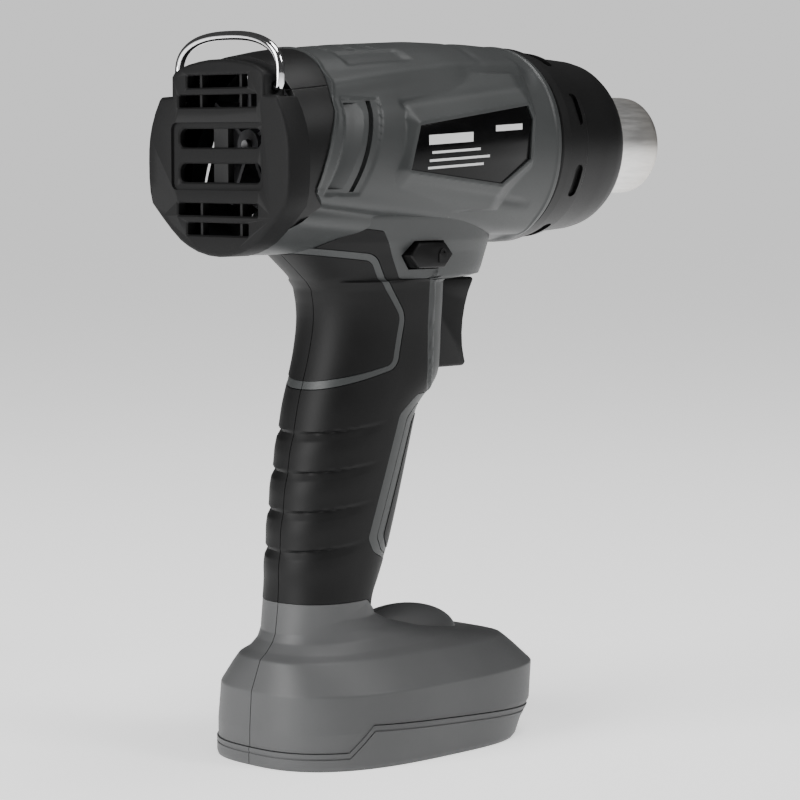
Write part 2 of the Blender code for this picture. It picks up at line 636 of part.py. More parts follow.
def battery_case(side):
    """One half of the pack's case: the band that shows under the foot, and the block that fills it."""
    case = upright(f"{side}_battery_case", FOOT_STATIONS[:4], FOOT_POWER, 0.0, parts)
    boolean(case, band_top)
    stations = [(z, rear, min(front, BLOCK_FRONT_X), half) for z, rear, front, half in FOOT_STATIONS[1:3]]
    stations += [(BLOCK_TOP_Z - BLOCK_INSET, *BLOCK_TOP)]
    boolean(case, upright(f"{side}_block", stations, FOOT_POWER, BLOCK_INSET), "UNION")
    bay, low, high = CELL_BAY
    boolean(case, box(f"{side}_cells_bay", (CELL_X[0] - 0.001, -bay, low), (CELL_X[1] + 0.001, bay, high), cutters))
    boolean(case, half_spaces[side], "INTERSECT")
    return finish(case, FOOT_GREY, 0.5)


pack = pivot("pack_axis", (0, 0, 0))
for side in SIDES:
    hang(battery_case(side), pack)
for number in range(3):
    cell = rod(f"battery_cell_{number + 1}", CELL_R, CELL_X[0], CELL_X[1], (0, (number - 1) * CELL_PITCH, CELL_Z))
    hang(finish(cell, BLUE, 0.35), pack)
hang(finish(box("battery_board", *BATTERY_BOARD), GREEN, 0.5), pack)

block = box("terminal_block", *TERMINAL_BOX)
for number, y in enumerate((-CONTACT_Y, CONTACT_Y)):
    low = (CONTACT_X[0], y - CONTACT_HALF, BLOCK_TOP_Z + GAP)
    high = (CONTACT_X[1], y + CONTACT_HALF, CONTACT_TOP_Z)
    contact = box(f"battery_contact_{number + 1}", low, high)
    hang(finish(contact, COPPER, 0.3, 1.0), pack)
    slot_low = (CONTACT_X[0] - 0.001, y - CONTACT_HALF - 0.0007, 0.0)
    slot_high = (CONTACT_X[1] + 0.001, y + CONTACT_HALF + 0.0007, CONTACT_TOP_Z + 0.0005)
    boolean(block, box(f"terminal_slot_{number}", slot_low, slot_high, cutters))
finish(block, DARK, 0.5)

release = box("release_button", *RELEASE_BOX)
hang(finish(release, BLACK, 0.5), pivot("release_slide", RELEASE_BOX[0]))

for number, (x, z, reach) in enumerate(SCREWS):
    profile = ((0, reach), (HEAD_R, reach), (HEAD_R, reach - HEAD_DEPTH), (SCREW_R, reach - HEAD_DEPTH),
               (SCREW_R, 0.004 - reach), (0, 0.004 - reach))
    finish(turned(f"housing_screw_{number + 1}", profile, (x, 0, z), "Y", steps=8), STEEL, 0.35, 1.0)
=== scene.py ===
import json
import bpy
import bmesh
from math import cos, exp, pi, radians, sin, sqrt
from mathutils import Matrix, Vector


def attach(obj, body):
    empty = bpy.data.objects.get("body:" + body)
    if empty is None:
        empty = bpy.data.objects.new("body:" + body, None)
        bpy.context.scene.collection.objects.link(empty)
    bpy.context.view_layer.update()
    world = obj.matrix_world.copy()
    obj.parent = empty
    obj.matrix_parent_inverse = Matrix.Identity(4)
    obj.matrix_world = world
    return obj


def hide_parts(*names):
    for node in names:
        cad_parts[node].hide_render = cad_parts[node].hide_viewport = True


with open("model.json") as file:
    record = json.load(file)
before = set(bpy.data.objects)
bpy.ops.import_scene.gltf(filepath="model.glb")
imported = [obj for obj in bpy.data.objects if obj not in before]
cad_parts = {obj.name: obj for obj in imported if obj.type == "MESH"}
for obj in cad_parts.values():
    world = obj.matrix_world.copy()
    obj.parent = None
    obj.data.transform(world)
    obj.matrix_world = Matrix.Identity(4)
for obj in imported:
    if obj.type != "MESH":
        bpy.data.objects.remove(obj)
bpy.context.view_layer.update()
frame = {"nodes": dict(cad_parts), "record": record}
print("frame loaded")

# Everything is modelled in millimetres and brought to metres when a piece is finished.
toMetres = 0.001
axisZ = 204.0          # height of the air path's axis
seamGap = 0.15         # from the middle plane to each half
hair = 0.25            # the fine line between two mouldings
wall = 2.4
skin = 1.8             # thickness of the soft covers
far = 150.0            # past everything sideways
tall = 400.0           # past everything upward
sides = {"right": -1, "left": 1}
scrap = []             # cutters, cleared away at the end


def fromShape(name, shape):
    bmesh.ops.recalc_face_normals(shape, faces=shape.faces)
    mesh = bpy.data.meshes.new(name)
    shape.to_mesh(mesh)
    shape.free()
    piece = bpy.data.objects.new(name, mesh)
    bpy.context.scene.collection.objects.link(piece)
    return piece


def cutter(piece):
    scrap.append(piece)
    return piece


def settle(piece):
    graph = bpy.context.evaluated_depsgraph_get()
    mesh = bpy.data.meshes.new_from_object(piece.evaluated_get(graph))
    piece.modifiers.clear()
    piece.data = mesh
    return piece


def carve(piece, *tools, how="DIFFERENCE", solver="MANIFOLD"):
    for tool in tools:
        step = piece.modifiers.new(tool.name, "BOOLEAN")
        step.operation = how
        step.solver = solver
        step.object = tool
    return settle(piece)


def soften(piece, width, segments=2, angle=32):
    step = piece.modifiers.new("edges", "BEVEL")
    step.width = width
    step.segments = segments
    step.limit_method = "ANGLE"
    step.angle_limit = radians(angle)
    return settle(piece)


# A sheet of squares rolled round into a closed form; put gives each point from how far along and around it is
def rolled(name, along, around, put):
    shape = bmesh.new()
    bmesh.ops.create_grid(shape, x_segments=along, y_segments=around, size=0.5)
    for vert in shape.verts:
        vert.co = put(vert.co.x + 0.5, vert.co.y + 0.5)
    rim = [vert for vert in shape.verts if vert.is_boundary]
    bmesh.ops.remove_doubles(shape, verts=rim, dist=0.0001)
    rim = [edge for edge in shape.edges if edge.is_boundary]
    bmesh.ops.holes_fill(shape, edges=rim, sides=0)
    return fromShape(name, shape)


def pulled(shape, faces, vec):
    made = bmesh.ops.extrude_face_region(shape, geom=faces)["geom"]
    bmesh.ops.translate(shape, verts=[v for v in made if isinstance(v, bmesh.types.BMVert)], vec=vec)


# A flat outline drawn straight out: "side" outlines are x and z, "rear" ones y and z
def drawn(name, outline, low, high, look="side", corner=0.0):
    shape = bmesh.new()
    lay = {"side": lambda a, b: (a, low, b), "rear": lambda a, b: (low, a, b)}[look]
    way = {"side": (0, high - low, 0), "rear": (high - low, 0, 0)}[look]
    shape.faces.new([shape.verts.new(lay(a, b)) for a, b in outline])
    if corner:
        bmesh.ops.bevel(shape, geom=shape.verts[:], offset=corner, offset_type="OFFSET", segments=4,
                        profile=0.5, affect="VERTICES", material=-1)
    pulled(shape, shape.faces[:], way)
    return fromShape(name, shape)


def block(name, low, high):
    shape = bmesh.new()
    bmesh.ops.create_cube(shape, size=1.0)
    size = [b - a for a, b in zip(low, high)]
    middle = [(a + b) / 2 for a, b in zip(low, high)]
    bmesh.ops.transform(shape, matrix=Matrix.Translation(middle) @ Matrix.Diagonal((*size, 1.0)),
                        verts=shape.verts)
    return fromShape(name, shape)


# Radius and x pairs spun round the air path's axis
def spun(name, profile, steps):
    shape = bmesh.new()
    ring = [shape.verts.new((x, 0, radius)) for radius, x in profile]
    edges = [shape.edges.new(pair) for pair in zip(ring, ring[1:] + ring[:1])]
    bmesh.ops.spin(shape, geom=ring + edges, cent=(0, 0, 0), axis=(1, 0, 0), angle=2 * pi, steps=steps,
                   use_merge=True)
    bmesh.ops.remove_doubles(shape, verts=shape.verts, dist=0.0005)
    bmesh.ops.translate(shape, verts=shape.verts, vec=(0, 0, axisZ))
    return fromShape(name, shape)


def pin(name, radius, low, high, centre, axis):
    shape = bmesh.new()
    bmesh.ops.create_cone(shape, cap_ends=True, segments=32, radius1=radius, radius2=radius, depth=high - low)
    turn = Vector((0, 0, 1)).rotation_difference(Vector(axis)).to_matrix().to_4x4()
    middle = Vector(centre) + Vector(axis) * (low + high) / 2
    bmesh.ops.transform(shape, matrix=Matrix.Translation(middle) @ turn, verts=shape.verts)
    return fromShape(name, shape)


# A rectangle with rounded corners, drawn along X, with its mouth flared by the flare width
def slotTool(name, centreY, centreZ, halfY, halfZ, radius, low, high, flare=0.0, mouth=None):
    shape = bmesh.new()
    bmesh.ops.create_grid(shape, x_segments=1, y_segments=1, size=1.0)
    bmesh.ops.transform(shape, matrix=Matrix((
        (0, 0, 0, low), (halfY, 0, 0, centreY), (0, halfZ, 0, centreZ), (0, 0, 0, 1))), verts=shape.verts)
    if radius:
        bmesh.ops.bevel(shape, geom=shape.verts[:], offset=radius, offset_type="OFFSET", segments=5,
                        profile=0.5, affect="VERTICES", material=-1)
    if flare:
        top = shape.faces[:]
        for reach, grow in ((mouth + flare, 0.0), (mouth, flare), (high, flare)):
            made = bmesh.ops.extrude_face_region(shape, geom=top)["geom"]
            for vert in [v for v in made if isinstance(v, bmesh.types.BMVert)]:
                away = Vector((0, vert.co.y - centreY, vert.co.z - centreZ))
                vert.co.x = reach
                if grow and reach == mouth:
                    vert.co.y += grow * (1 if away.y > 0 else -1)
                    vert.co.z += grow * (1 if away.z > 0 else -1)
            if reach != mouth + flare:
                bmesh.ops.delete(shape, geom=top, context="FACES_ONLY")
            top = [f for f in made if isinstance(f, bmesh.types.BMFace)]
    else:
        pulled(shape, shape.faces[:], (high - low, 0, 0))
    return fromShape(name, shape)


def spread(outline, by):
    middle = Vector((0, 0))
    for point in outline:
        middle += Vector(point) / len(outline)
    return [tuple(Vector(point) + (Vector(point) - middle).normalized() * by) for point in outline]


# Values for a place between two stations, with the corners of the run eased over a short way
def between(stations, place, ease=0.0):
    if ease:
        near = [between(stations, place + step * ease) for step in (-1, -0.5, 0, 0.5, 1)]
        return [sum(values) / len(near) for values in zip(*near)]
    if place <= stations[0][0]:
        return stations[0][1:]
    for low, high in zip(stations, stations[1:]):
        if place <= high[0]:
            share = (place - low[0]) / (high[0] - low[0])
            return [a + (b - a) * share for a, b in zip(low[1:], high[1:])]
    return stations[-1][1:]


def rounded(halfA, halfB, turn, power, rearPower=None):
    a, b = cos(turn), sin(turn)
    used = rearPower if rearPower and a < 0 else power
    reach = (abs(a) ** used + abs(b) ** used) ** (-1 / used)
    return halfA * a * reach, halfB * b * reach


def eased(share):
    share = max(0.0, min(1.0, share))
    return share * share * (3 - 2 * share)


def lineReach(x, z, line):
    best = 1e9
    for (ax, az), (bx, bz) in zip(line, line[1:]):
        run, rise = bx - ax, bz - az
        share = max(0.0, min(1.0, ((x - ax) * run + (z - az) * rise) / (run * run + rise * rise)))
        best = min(best, (x - ax - share * run) ** 2 + (z - az - share * rise) ** 2)
    return sqrt(best)


# How far a point is outside an outline; less than nothing inside it
def outlineReach(x, z, outline):
    closed = list(outline) + [outline[0]]
    inside = False
    for (ax, az), (bx, bz) in zip(closed, closed[1:]):
        if (az > z) != (bz > z) and x < (bx - ax) * (z - az) / (bz - az) + ax:
            inside = not inside
    reach = lineReach(x, z, closed)
    return -reach if inside else reach


barrel = {
    "rear": -95.5,
    "front": 28.5,
    "stations": (         # x, centre z, half width, half height
        (-95.5, 200.0, 32.5, 31.8), (-78.0, 201.5, 33.2, 33.4), (-50.0, 203.0, 33.8, 34.2),
        (-17.0, 204.0, 34.2, 35.0), (10.0, 204.0, 34.2, 34.8), (25.0, 204.0, 34.1, 34.1),
        (28.5, 204.0, 33.6, 33.6)),
    "power": 2.1,
    "rearSeam": (         # x and z of the line where the black rear meets the grey body
        (-70.9, 260.0), (-70.9, 236.0), (-75.6, 223.0), (-76.5, 219.9), (-77.1, 214.5), (-80.5, 206.3),
        (-83.5, 197.7), (-85.6, 190.2), (-85.2, 188.6), (-80.8, 184.2), (-93.5, 174.8), (-96.0, 173.0)),
    "hoodSeam": ((-97.0, 220.7), (-75.8, 222.9), (-60.0, 224.5)),
    "ridge": ((-75.8, 222.8), (-37.4, 228.0), (-11.4, 230.4), (16.0, 231.0)),
    "ridgeRise": 1.0,
    "ridgeWidth": 2.6,
    "valley": (0.55, 5.5, 3.0),   # depth, distance from the ridge, and width
    "lipRise": 0.45,      # the light lip along the rear edge
    "lipWidth": 1.6,
    "crownSteps": (-64.0, -54.0, -44.0),
    "stepDepth": 0.9,
    "stepLean": 0.30,
    "panelDepth": 0.7,
    "frontGroove": 0.45,
    "upperGroove": ((-46.0, 217.4), (12.0, 224.6)),
    "lowerGroove": ((-52.0, 191.8), (17.0, 183.6)),
    "grooveDepth": 0.9,
    "grooveWidth": 1.3,
    "crease": ((-85.0, 183.2), (-29.2, 177.2), (7.8, 171.6), (26.0, 171.0)),
    "creaseDepth": 1.5,
    "creaseWidth": 1.8,
    "creaseLip": (0.6, 4.0, 2.4),   # rise, distance from the crease, and width
    "rimWidth": 2.2,      # the light lip at the front edge
    "rimRise": 0.5,
}
louvre = {
    "top": (-71.4, 217.4),
    "lean": 0.31,         # how far it leans back for each step down
    "bow": 1.25,
    "frame": (187.6, 219.6),
    "frameDepth": 0.55,
}
label = {
    "outline": ((-42.4, 210.3), (8.8, 217.2), (11.3, 212.9), (10.2, 199.3), (-3.8, 191.2), (-46.8, 195.9)),
    "seat": 34.55,        # how far the plate's bed is from the middle plane
    "back": 34.7,         # the plate's back and front faces
    "face": 35.30,
    "bank": 35.75,        # the flat bank round it
    "bankWidth": 1.3,
    "slope": 0.85,
}


def barrelSide(x, z, inset=0.0):
    centre, halfW, halfH = between(barrel["stations"], x)
    share = min(1.0, abs(z - centre) / (halfH - inset))
    return (halfW - inset) * (1 - share ** barrel["power"]) ** (1 / barrel["power"])


# The moulded relief of the barrel, added to its plain form
def barrelPoint(x, turn):
    centre, halfW, halfH = between(barrel["stations"], x, 3.0 if x < 20 else 0.6)
    y, z = rounded(halfW, halfH, turn, barrel["power"])
    outward = Vector((0, y / halfW ** 2, z / halfH ** 2)).normalized()
    z += centre
    lift = 0.0
    near = lineReach(x, z, barrel["ridge"])
    if near < 12 and z > centre:
        deep, apart, wide = barrel["valley"]
        lift += barrel["ridgeRise"] * exp(-(near / barrel["ridgeWidth"]) ** 2)
        lift -= deep * exp(-((near - apart) / wide) ** 2) * eased((232 - z) / 4)
    for groove in ("upperGroove", "lowerGroove"):
        near = lineReach(x, z, barrel[groove])
        if near < 6:
            tail = eased((x + 52) / 8) * eased((20 - x) / 9)
            lift -= barrel["grooveDepth"] * exp(-(near / barrel["grooveWidth"]) ** 2) * tail
    if z < 190:
        near = lineReach(x, z, barrel["crease"])
        rise, apart, wide = barrel["creaseLip"]
        tail = eased((30 - x) / 6)
        lift -= barrel["creaseDepth"] * exp(-(near / barrel["creaseWidth"]) ** 2) * tail
        lift += rise * exp(-((near - apart) / wide) ** 2) * tail
    edge = barrel["front"] - x
    if edge < barrel["rimWidth"] + 1.0:
        lift += barrel["rimRise"] * eased(edge / 0.7) * eased((barrel["rimWidth"] + 1.0 - edge) / 0.9)
    if x < -64 and z > 184:
        near = lineReach(x, z, barrel["rearSeam"][1:8])
        lift += barrel["lipRise"] * eased((barrel["lipWidth"] - near) / 0.7)
    # the crown: crosswise steps, a sunk panel on each shoulder, and a shallow groove across its front
    if z > centre + 14:
        across = abs(y)
        for place in barrel["crownSteps"]:
            bend = x - place - barrel["stepLean"] * across
            step = eased((bend + 3.0) / 3.0) * eased((1.0 - bend) / 1.0)
            lift -= barrel["stepDepth"] * step * eased((13 - across) / 3)
        panel = eased((x + 62) / 3) * eased((-30 - x) / 5)
        panel *= eased((across - 12.0) / 2.5) * eased((21.5 - across) / 2.5)
        lift -= barrel["panelDepth"] * panel
        groove = exp(-((x - 3.0 + 0.2 * across) / 2.2) ** 2) * eased((25 - across) / 8)
        lift -= barrel["frontGroove"] * groove
    point = Vector((x, y, z)) + outward * lift
    # the shallow frame round the louvres
    if -86 < x < -50 and 184 < z < 222:
        along = (z - 189.5) / 28
        (topX, topZ), low, high = louvre["top"], *louvre["frame"]
        slant = x - (topX + (z - topZ) * louvre["lean"]) - louvre["bow"] * 4 * along * (1 - along)
        inside = min(slant + 1.6, 15.2 - slant, z - low, high - z)
        point -= outward * louvre["frameDepth"] * eased(inside / 0.8)
    # the flat bank that carries the label
    if -62 < x < 24 and 182 < z < 228:
        out = outlineReach(x, z, label["outline"])
        bank = label["bank"] - label["slope"] * max(0.0, out - label["bankWidth"])
        if bank > abs(point.y):
            point.y = bank if y > 0 else -bank
    return point


def barrelForm(name, inset, reach, along=24, around=64):
    low, high = barrel["rear"] - reach, barrel["front"] + reach

    def put(share, round):
        x = low + (high - low) * share
        centre, halfW, halfH = between(barrel["stations"], x)
        y, z = rounded(halfW - inset, halfH - inset, 2 * pi * round, barrel["power"])
        return x, y, centre + z
    return rolled(name, along, around, put)


grip = {
    "stations": (         # z, rear x, front x, half width, and how square its front is
        (36.0, -76.2, -38.5, 17.0, 2.3), (52.3, -74.1, -38.6, 17.2, 2.3), (60.0, -73.6, -34.5, 17.4, 2.3),
        (69.6, -73.1, -30.4, 17.8, 2.3), (82.9, -71.6, -26.2, 18.3, 2.3), (95.7, -69.5, -22.6, 18.8, 2.3),
        (109.5, -66.5, -18.8, 19.2, 2.3), (117.0, -65.0, -16.8, 19.4, 2.35), (123.0, -63.3, -11.0, 19.6, 3.0),
        (126.2, -62.1, -9.4, 19.7, 3.4), (134.0, -59.6, -9.0, 19.8, 3.5), (142.7, -57.7, -9.0, 20.0, 3.5),
        (149.4, -57.2, -8.8, 20.6, 3.5), (156.1, -58.5, -8.6, 21.2, 3.4), (158.9, -60.8, -8.0, 21.6, 3.2),
        (159.6, -61.8, 13.4, 21.8, 2.4), (162.3, -64.9, 15.0, 22.4, 2.4), (168.0, -72.0, 17.2, 23.6, 2.4),
        (172.0, -76.5, 18.4, 25.0, 2.4), (180.0, -80.0, 18.4, 26.6, 2.4), (186.0, -80.5, 18.4, 26.6, 2.4)),
    "power": 2.3,
    "folds": (108.5, 95.5, 82.5, 69.5),
    "foldLean": 0.14,
    "foldDepth": 1.15,
    "foldWidth": 2.7,
    "thumb": ((-84.0, 171.8), (-76.4, 171.0), (-49.2, 168.0), (-34.3, 147.2), (-37.6, 130.0), (-59.9, 124.0),
              (-68.9, 121.4), (-84.0, 117.4)),
    "strip": 2.6,
    "pad": ((-24.0, 113.2), (-27.0, 110.8), (-41.0, 73.5), (-37.5, 68.8), (10.0, 68.8), (10.0, 113.2)),
    "padLine": ((-25.0, 116.8), (-31.0, 112.6), (-45.0, 73.4), (-42.0, 68.6), (-37.8, 66.9), (10.0, 66.9),
                (10.0, 116.8)),
    "padFrame": ((-26.5, 120.3), (-35.5, 114.0), (-49.3, 73.2), (-46.5, 68.5), (-38.0, 65.0), (10.0, 65.0),
                 (10.0, 120.3)),
    "cover": ((-95.0, 182.5), (-80.5, 179.8), (-48.4, 175.6), (-45.2, 171.0), (-37.8, 159.4), (-23.6, 159.2),
              (-22.8, 124.0), (-21.0, 121.4), (10.0, 116.5), (10.0, 48.6), (-42.0, 48.6), (-48.0, 52.8),
              (-95.0, 52.8)),
    "frameRib": ((-21.4, 161.0), (-20.6, 125.0), (-18.0, 121.6)),
}


def gripPoint(z, turn, inset, folds=False):
    rear, front, halfW, square = between(grip["stations"], z, 0.3 + 2.7 * eased((155 - z) / 6))
    x, y = rounded((front - rear) / 2 - inset, halfW - inset, turn, square, grip["power"])
    x += (front + rear) / 2
    if folds:
        along = (x - rear) / (front - rear)
        share = eased(along / 0.55)                            # nothing left of a fold this far forward
        middle = 0.24 + 0.76 * eased(abs(y) / 8.0)             # shallower over the spine
        for place in grip["folds"]:
            rise = z - place - grip["foldLean"] * (x - rear)
            notch = max(0.0, min(1.0, (rise + grip["foldWidth"]) / grip["foldWidth"]))
            notch *= eased((0.9 - rise) / 0.9)
            swell = exp(-((rise + 6.0) / 3.6) ** 2) * 0.35
            push = (swell - notch * grip["foldDepth"] * middle) * (1 - share)
            outward = Vector((x - (front + rear) / 2, y)).normalized()
            x += outward.x * push
            y += outward.y * push
    return x, y, z


# The core stands in thin upright ribs beside the trigger
def corePoint(z, turn):
    x, y, z = gripPoint(z, turn, 0.12)
    near = lineReach(x, z, grip["frameRib"])
    if near < 2 and abs(y) > 8:
        y += (1 if y > 0 else -1) * 0.55 * eased((1.1 - near) / 0.6)
    return x, y, z


def gripForm(name, inset, low, high, along=48, around=72, folds=False):
    def put(share, round):
        return gripPoint(low + (high - low) * share, 2 * pi * round, inset, folds)
    return rolled(name, along, around, put)


foot = {
    "stations": (         # z, rear x, front x, half width
        (0.0, -87.0, 17.0, 36.5), (1.0, -87.3, 18.6, 36.9), (6.0, -87.3, 21.6, 36.9),
        (12.0, -87.3, 27.6, 36.9), (24.4, -86.5, 29.8, 35.8), (34.4, -82.5, 19.5, 28.0),
        (36.4, -79.8, 4.0, 24.4), (39.6, -77.0, -15.0, 21.2), (43.0, -75.4, -29.0, 19.0),
        (46.7, -74.5, -36.6, 17.6), (52.2, -74.1, -38.2, 17.3)),
    "widest": -30.0,
    "power": 3.4,
    "rearPower": 2.75,
    "topPower": 2.35,
    "ledge": 0.45,        # how far the shell stands back from the band
    "mound": (-17.0, 34.0, 25.0, 13.0, 11.8),   # centre x and z, and half length, width and height
    "seam": ((-95.0, 6.0), (-70.5, 6.0), (-62.0, 14.4), (23.7, 9.8), (36.0, 9.2)),
}


def footPoint(z, turn, inset):
    rear, front, halfW = between(foot["stations"], z, 0.3)
    top = eased((z - 30) / 14)
    power = foot["power"] + (foot["topPower"] - foot["power"]) * top
    rearPower = foot["rearPower"] + (foot["topPower"] - foot["rearPower"]) * top
    # the widest place, drawn back as the top narrows
    centre = foot["widest"] + (rear + front - 2 * foot["widest"]) / 2 * top
    reach = (front - centre) if cos(turn) > 0 else (centre - rear)
    x, y = rounded(reach - inset, halfW - inset, turn, power, rearPower)
    return x + centre, y, z


def footForm(name, inset, low, high, along, around):
    def put(share, round):
        return footPoint(low + (high - low) * share, 2 * pi * round, inset)
    return rolled(name, along, around, put)


def seamTool(name, line, lift, below):
    points = [(x, z + lift) for x, z in line]
    front, rear = points[-1][0] + 40, points[0][0] - 60
    last = -40.0 if below else tall
    ends = [(front, points[-1][1]), (front, last), (rear, last), (rear, points[0][1])]
    return cutter(drawn(name, points + ends, -far, far))


halves = {}
for side, way in sides.items():
    near, away = sorted((seamGap * way, far * way))
    halves[side] = cutter(block(f"{side}Room", (-far, near, -far), (far, away, tall)))


def rearTool(name, shift, behind=True):
    line = [(x + shift, z) for x, z in barrel["rearSeam"]]
    return cutter(drawn(name, line + [(-far, line[-1][1]), (-far, 260.0)], -far, far))


# Cut through the side of the barrel: a slanted louvre that follows the barrel's curve
def louvreTool(name, way, top, bottom, widthTop, widthBottom, depthRear, depthFront):
    def put(across, along):
        z = bottom[1] + (top[1] - bottom[1]) * along
        rear = bottom[0] + (top[0] - bottom[0]) * along + louvre["bow"] * 4 * along * (1 - along)
        width = widthBottom + (widthTop - widthBottom) * along
        x = rear + width * across
        depth = depthRear + (depthFront - depthRear) * across
        return Vector((x, way * (barrelSide(x, z) - depth), z))
    shape = bmesh.new()
    bmesh.ops.create_grid(shape, x_segments=2, y_segments=16, size=0.5)
    for vert in shape.verts:
        vert.co = put(vert.co.x + 0.5, vert.co.y + 0.5)
    pulled(shape, shape.faces[:], (0, way * 12, 0))
    return cutter(fromShape(name, shape))


trigger = {
    "halfWidth": 7.8,
    "outline": (          # x and z, from the top of its finger face down and back up inside
        (11.8, 158.4), (11.8, 157.2), (9.6, 153.2), (7.9, 148.5), (6.8, 143.5), (6.4, 139.0), (6.6, 134.5),
        (7.4, 130.8), (8.0, 128.9), (7.2, 127.6), (-15.0, 127.6), (-15.0, 158.4)),
}
lock = {"x": -27.8, "z": 167.4, "halfLength": 10.2, "halfHeight": 4.3, "taper": 4.0, "reach": 26.5}
lockOutline = [(lock["x"] + a * lock["halfLength"] - b * lock["taper"], lock["z"] + c * lock["halfHeight"])
               for a, b, c in ((-1, 0, 0), (-1, -1, 1), (1, 1, 1), (1, 0, 0), (1, 1, -1), (-1, -1, -1))]
screws = (                # x, z and how far each head stands from the middle plane
    (-62.0, 178.0, 21.5), (18.0, 179.0, 21.5), (-20.0, 231.0, 18.2), (-66.0, 228.0, 18.4),
    (-48.0, 106.0, 14.2), (-64.0, 48.0, 12.0))
screwHead = 2.7

print("building the housing")
gripHollow = cutter(gripForm("gripHollow", skin + wall, 20.0, 186.0))
footSolid = cutter(footForm("footSolid", foot["ledge"], 0.0, 52.2, 156, 280))
footHollow = cutter(footForm("footHollow", wall, -2.0, 34.0, 40, 120))
barrelHollow = cutter(barrelForm("barrelHollow", wall, 4.0))
skirt = cutter(barrelForm("skirt", -hair, 0.0, 60, 128))
postRoom = cutter(barrelForm("postRoom", 1.4, 0.0, 24, 96))
capRoom = cutter(block("capRoom", (-far, -far, 160.0), (-90.7, far, 250.0)))
bandCut = seamTool("bandCut", foot["seam"], 0.15, True)
rearCut = rearTool("rearCut", 0.15)
lockSlot = cutter(drawn("lockSlot", spread(lockOutline, 0.9), -far, far))
triggerSlot = cutter(block("triggerSlot", (-24.0, -trigger["halfWidth"] - 0.6, 126.6),
                           (40.0, trigger["halfWidth"] + 0.6, 159.3)))
releaseSlot = cutter(block("releaseSlot", (10.0, -8.5, 16.5), (40.0, 8.5, 25.5)))
thumbTool = cutter(drawn("thumbTool", spread(grip["thumb"], -grip["strip"]), -far, far, corner=2.0))
thumbHole = cutter(drawn("thumbHole", spread(grip["thumb"], hair), -far, far, corner=3.0))
thumbRim = cutter(drawn("thumbRim", grip["thumb"], -far, far, corner=3.0))
padTool = cutter(drawn("padTool", grip["pad"], -far, far, corner=1.2))
padHole = cutter(drawn("padHole", spread(grip["padFrame"], hair), -far, far, corner=1.2))
coverTool = cutter(drawn("coverTool", grip["cover"], -far, far, corner=0.8))


# The places in the core where the soft pieces lie
def pocket(name, *tools, deep=skin + hair):
    form = gripForm(name, -4.0, 40.0, 182.0, 146, 150)
    carve(form, cutter(gripForm(f"{name}Floor", deep, 36.0, 186.0, 146, 150)))
    for how, tool in tools:
        carve(form, tool, how=how)
    return cutter(form)


coverWide = cutter(drawn("coverWide", spread(grip["cover"], hair), -far, far, corner=0.8))
padRim = cutter(drawn("padRim", grip["padFrame"], -far, far, corner=1.2))
coverPocket = pocket("coverPocket", ("INTERSECT", coverWide), ("DIFFERENCE", thumbRim),
                     ("DIFFERENCE", padRim))
padLineWide = cutter(drawn("padLineWide", spread(grip["padLine"], 0.2), -far, far, corner=1.2))
padLineThin = cutter(drawn("padLine", spread(grip["padLine"], -0.2), -far, far, corner=1.2))
padGroove = pocket("padGroove", ("INTERSECT", padLineWide), ("DIFFERENCE", padLineThin), deep=0.6)
thumbWide = cutter(drawn("thumbWide", spread(grip["thumb"], hair - grip["strip"]), -far, far, corner=2.0))
thumbPocket = pocket("thumbPocket", ("INTERSECT", thumbWide))
mound = bmesh.new()
bmesh.ops.create_uvsphere(mound, u_segments=96, v_segments=64, radius=1.0)
moundX, moundZ, moundLong, moundWide, moundHigh = foot["mound"]
bmesh.ops.transform(mound, matrix=Matrix.Translation((moundX, 0, moundZ))
                    @ Matrix.Diagonal((moundLong, moundWide, moundHigh, 1.0)), verts=mound.verts)
carve(footSolid, cutter(fromShape("mound", mound)), how="UNION")
carve(footSolid, coverPocket)
padWide = cutter(drawn("padWide", spread(grip["pad"], hair), -far, far, corner=1.2))
padPocket = pocket("padPocket", ("INTERSECT", padWide))


def housing(side):
    way = sides[side]
    long = barrel["front"] - barrel["rear"]
    shell = rolled(f"{side}Shell", 206, 400,
                   lambda share, round: barrelPoint(barrel["rear"] + long * share, 2 * pi * round))
    core = rolled(f"{side}Core", 220, 300,
                  lambda share, round: corePoint(38.0 + 146.0 * share, 2 * pi * round))
    carve(core, coverPocket, thumbPocket, padPocket, padGroove)
    scrap.append(core)
    carve(shell, core, footSolid, how="UNION")
    carve(shell, barrelHollow, gripHollow, footHollow)
    posts = [cutter(pin(f"{side}Post{i}", 4.4, -reach + 0.5, reach - 0.5, (x, 0, z), (0, 1, 0)))
             for i, (x, z, reach) in enumerate(screws)]
    for (x, z, reach), post in zip(screws, posts):
        if z > 176:
            carve(post, postRoom, how="INTERSECT")
    carve(shell, *posts, how="UNION")
    carve(shell, bandCut, rearCut, capRoom, lockSlot, triggerSlot, releaseSlot)
    holes = [cutter(pin(f"{side}Hole{i}", screwHead + 0.4, reach - 2.6, far, (x, 0, z), (0, 1, 0)))
             for i, (x, z, reach) in enumerate(screws)]
    bores = [cutter(pin(f"{side}Bore{i}", 1.6, 2.9 - reach, far, (x, 0, z), (0, 1, 0)))
             for i, (x, z, reach) in enumerate(screws)]
    carve(shell, *holes, *bores)
    bed = cutter(drawn(f"{side}Bed", spread(label["outline"], hair), way * label["seat"], way * 50.0))
    louvres = [
        louvreTool(f"{side}Louvre1", way, louvre["top"], (-80.2, 189.8), 8.0, 6.6, 2.8, 0.5),
        louvreTool(f"{side}Louvre2", way, (-61.6, 218.2), (-70.6, 188.9), 2.0, 2.0, 3.4, 3.4),
    ]
    carve(shell, bed, *louvres)
    carve(shell, halves[side], how="INTERSECT")
    print(side, "housing faces", len(shell.data.polygons))
    return shell


pieces = {}
for side in sides:
    pieces[f"{side}Housing"] = housing(side)


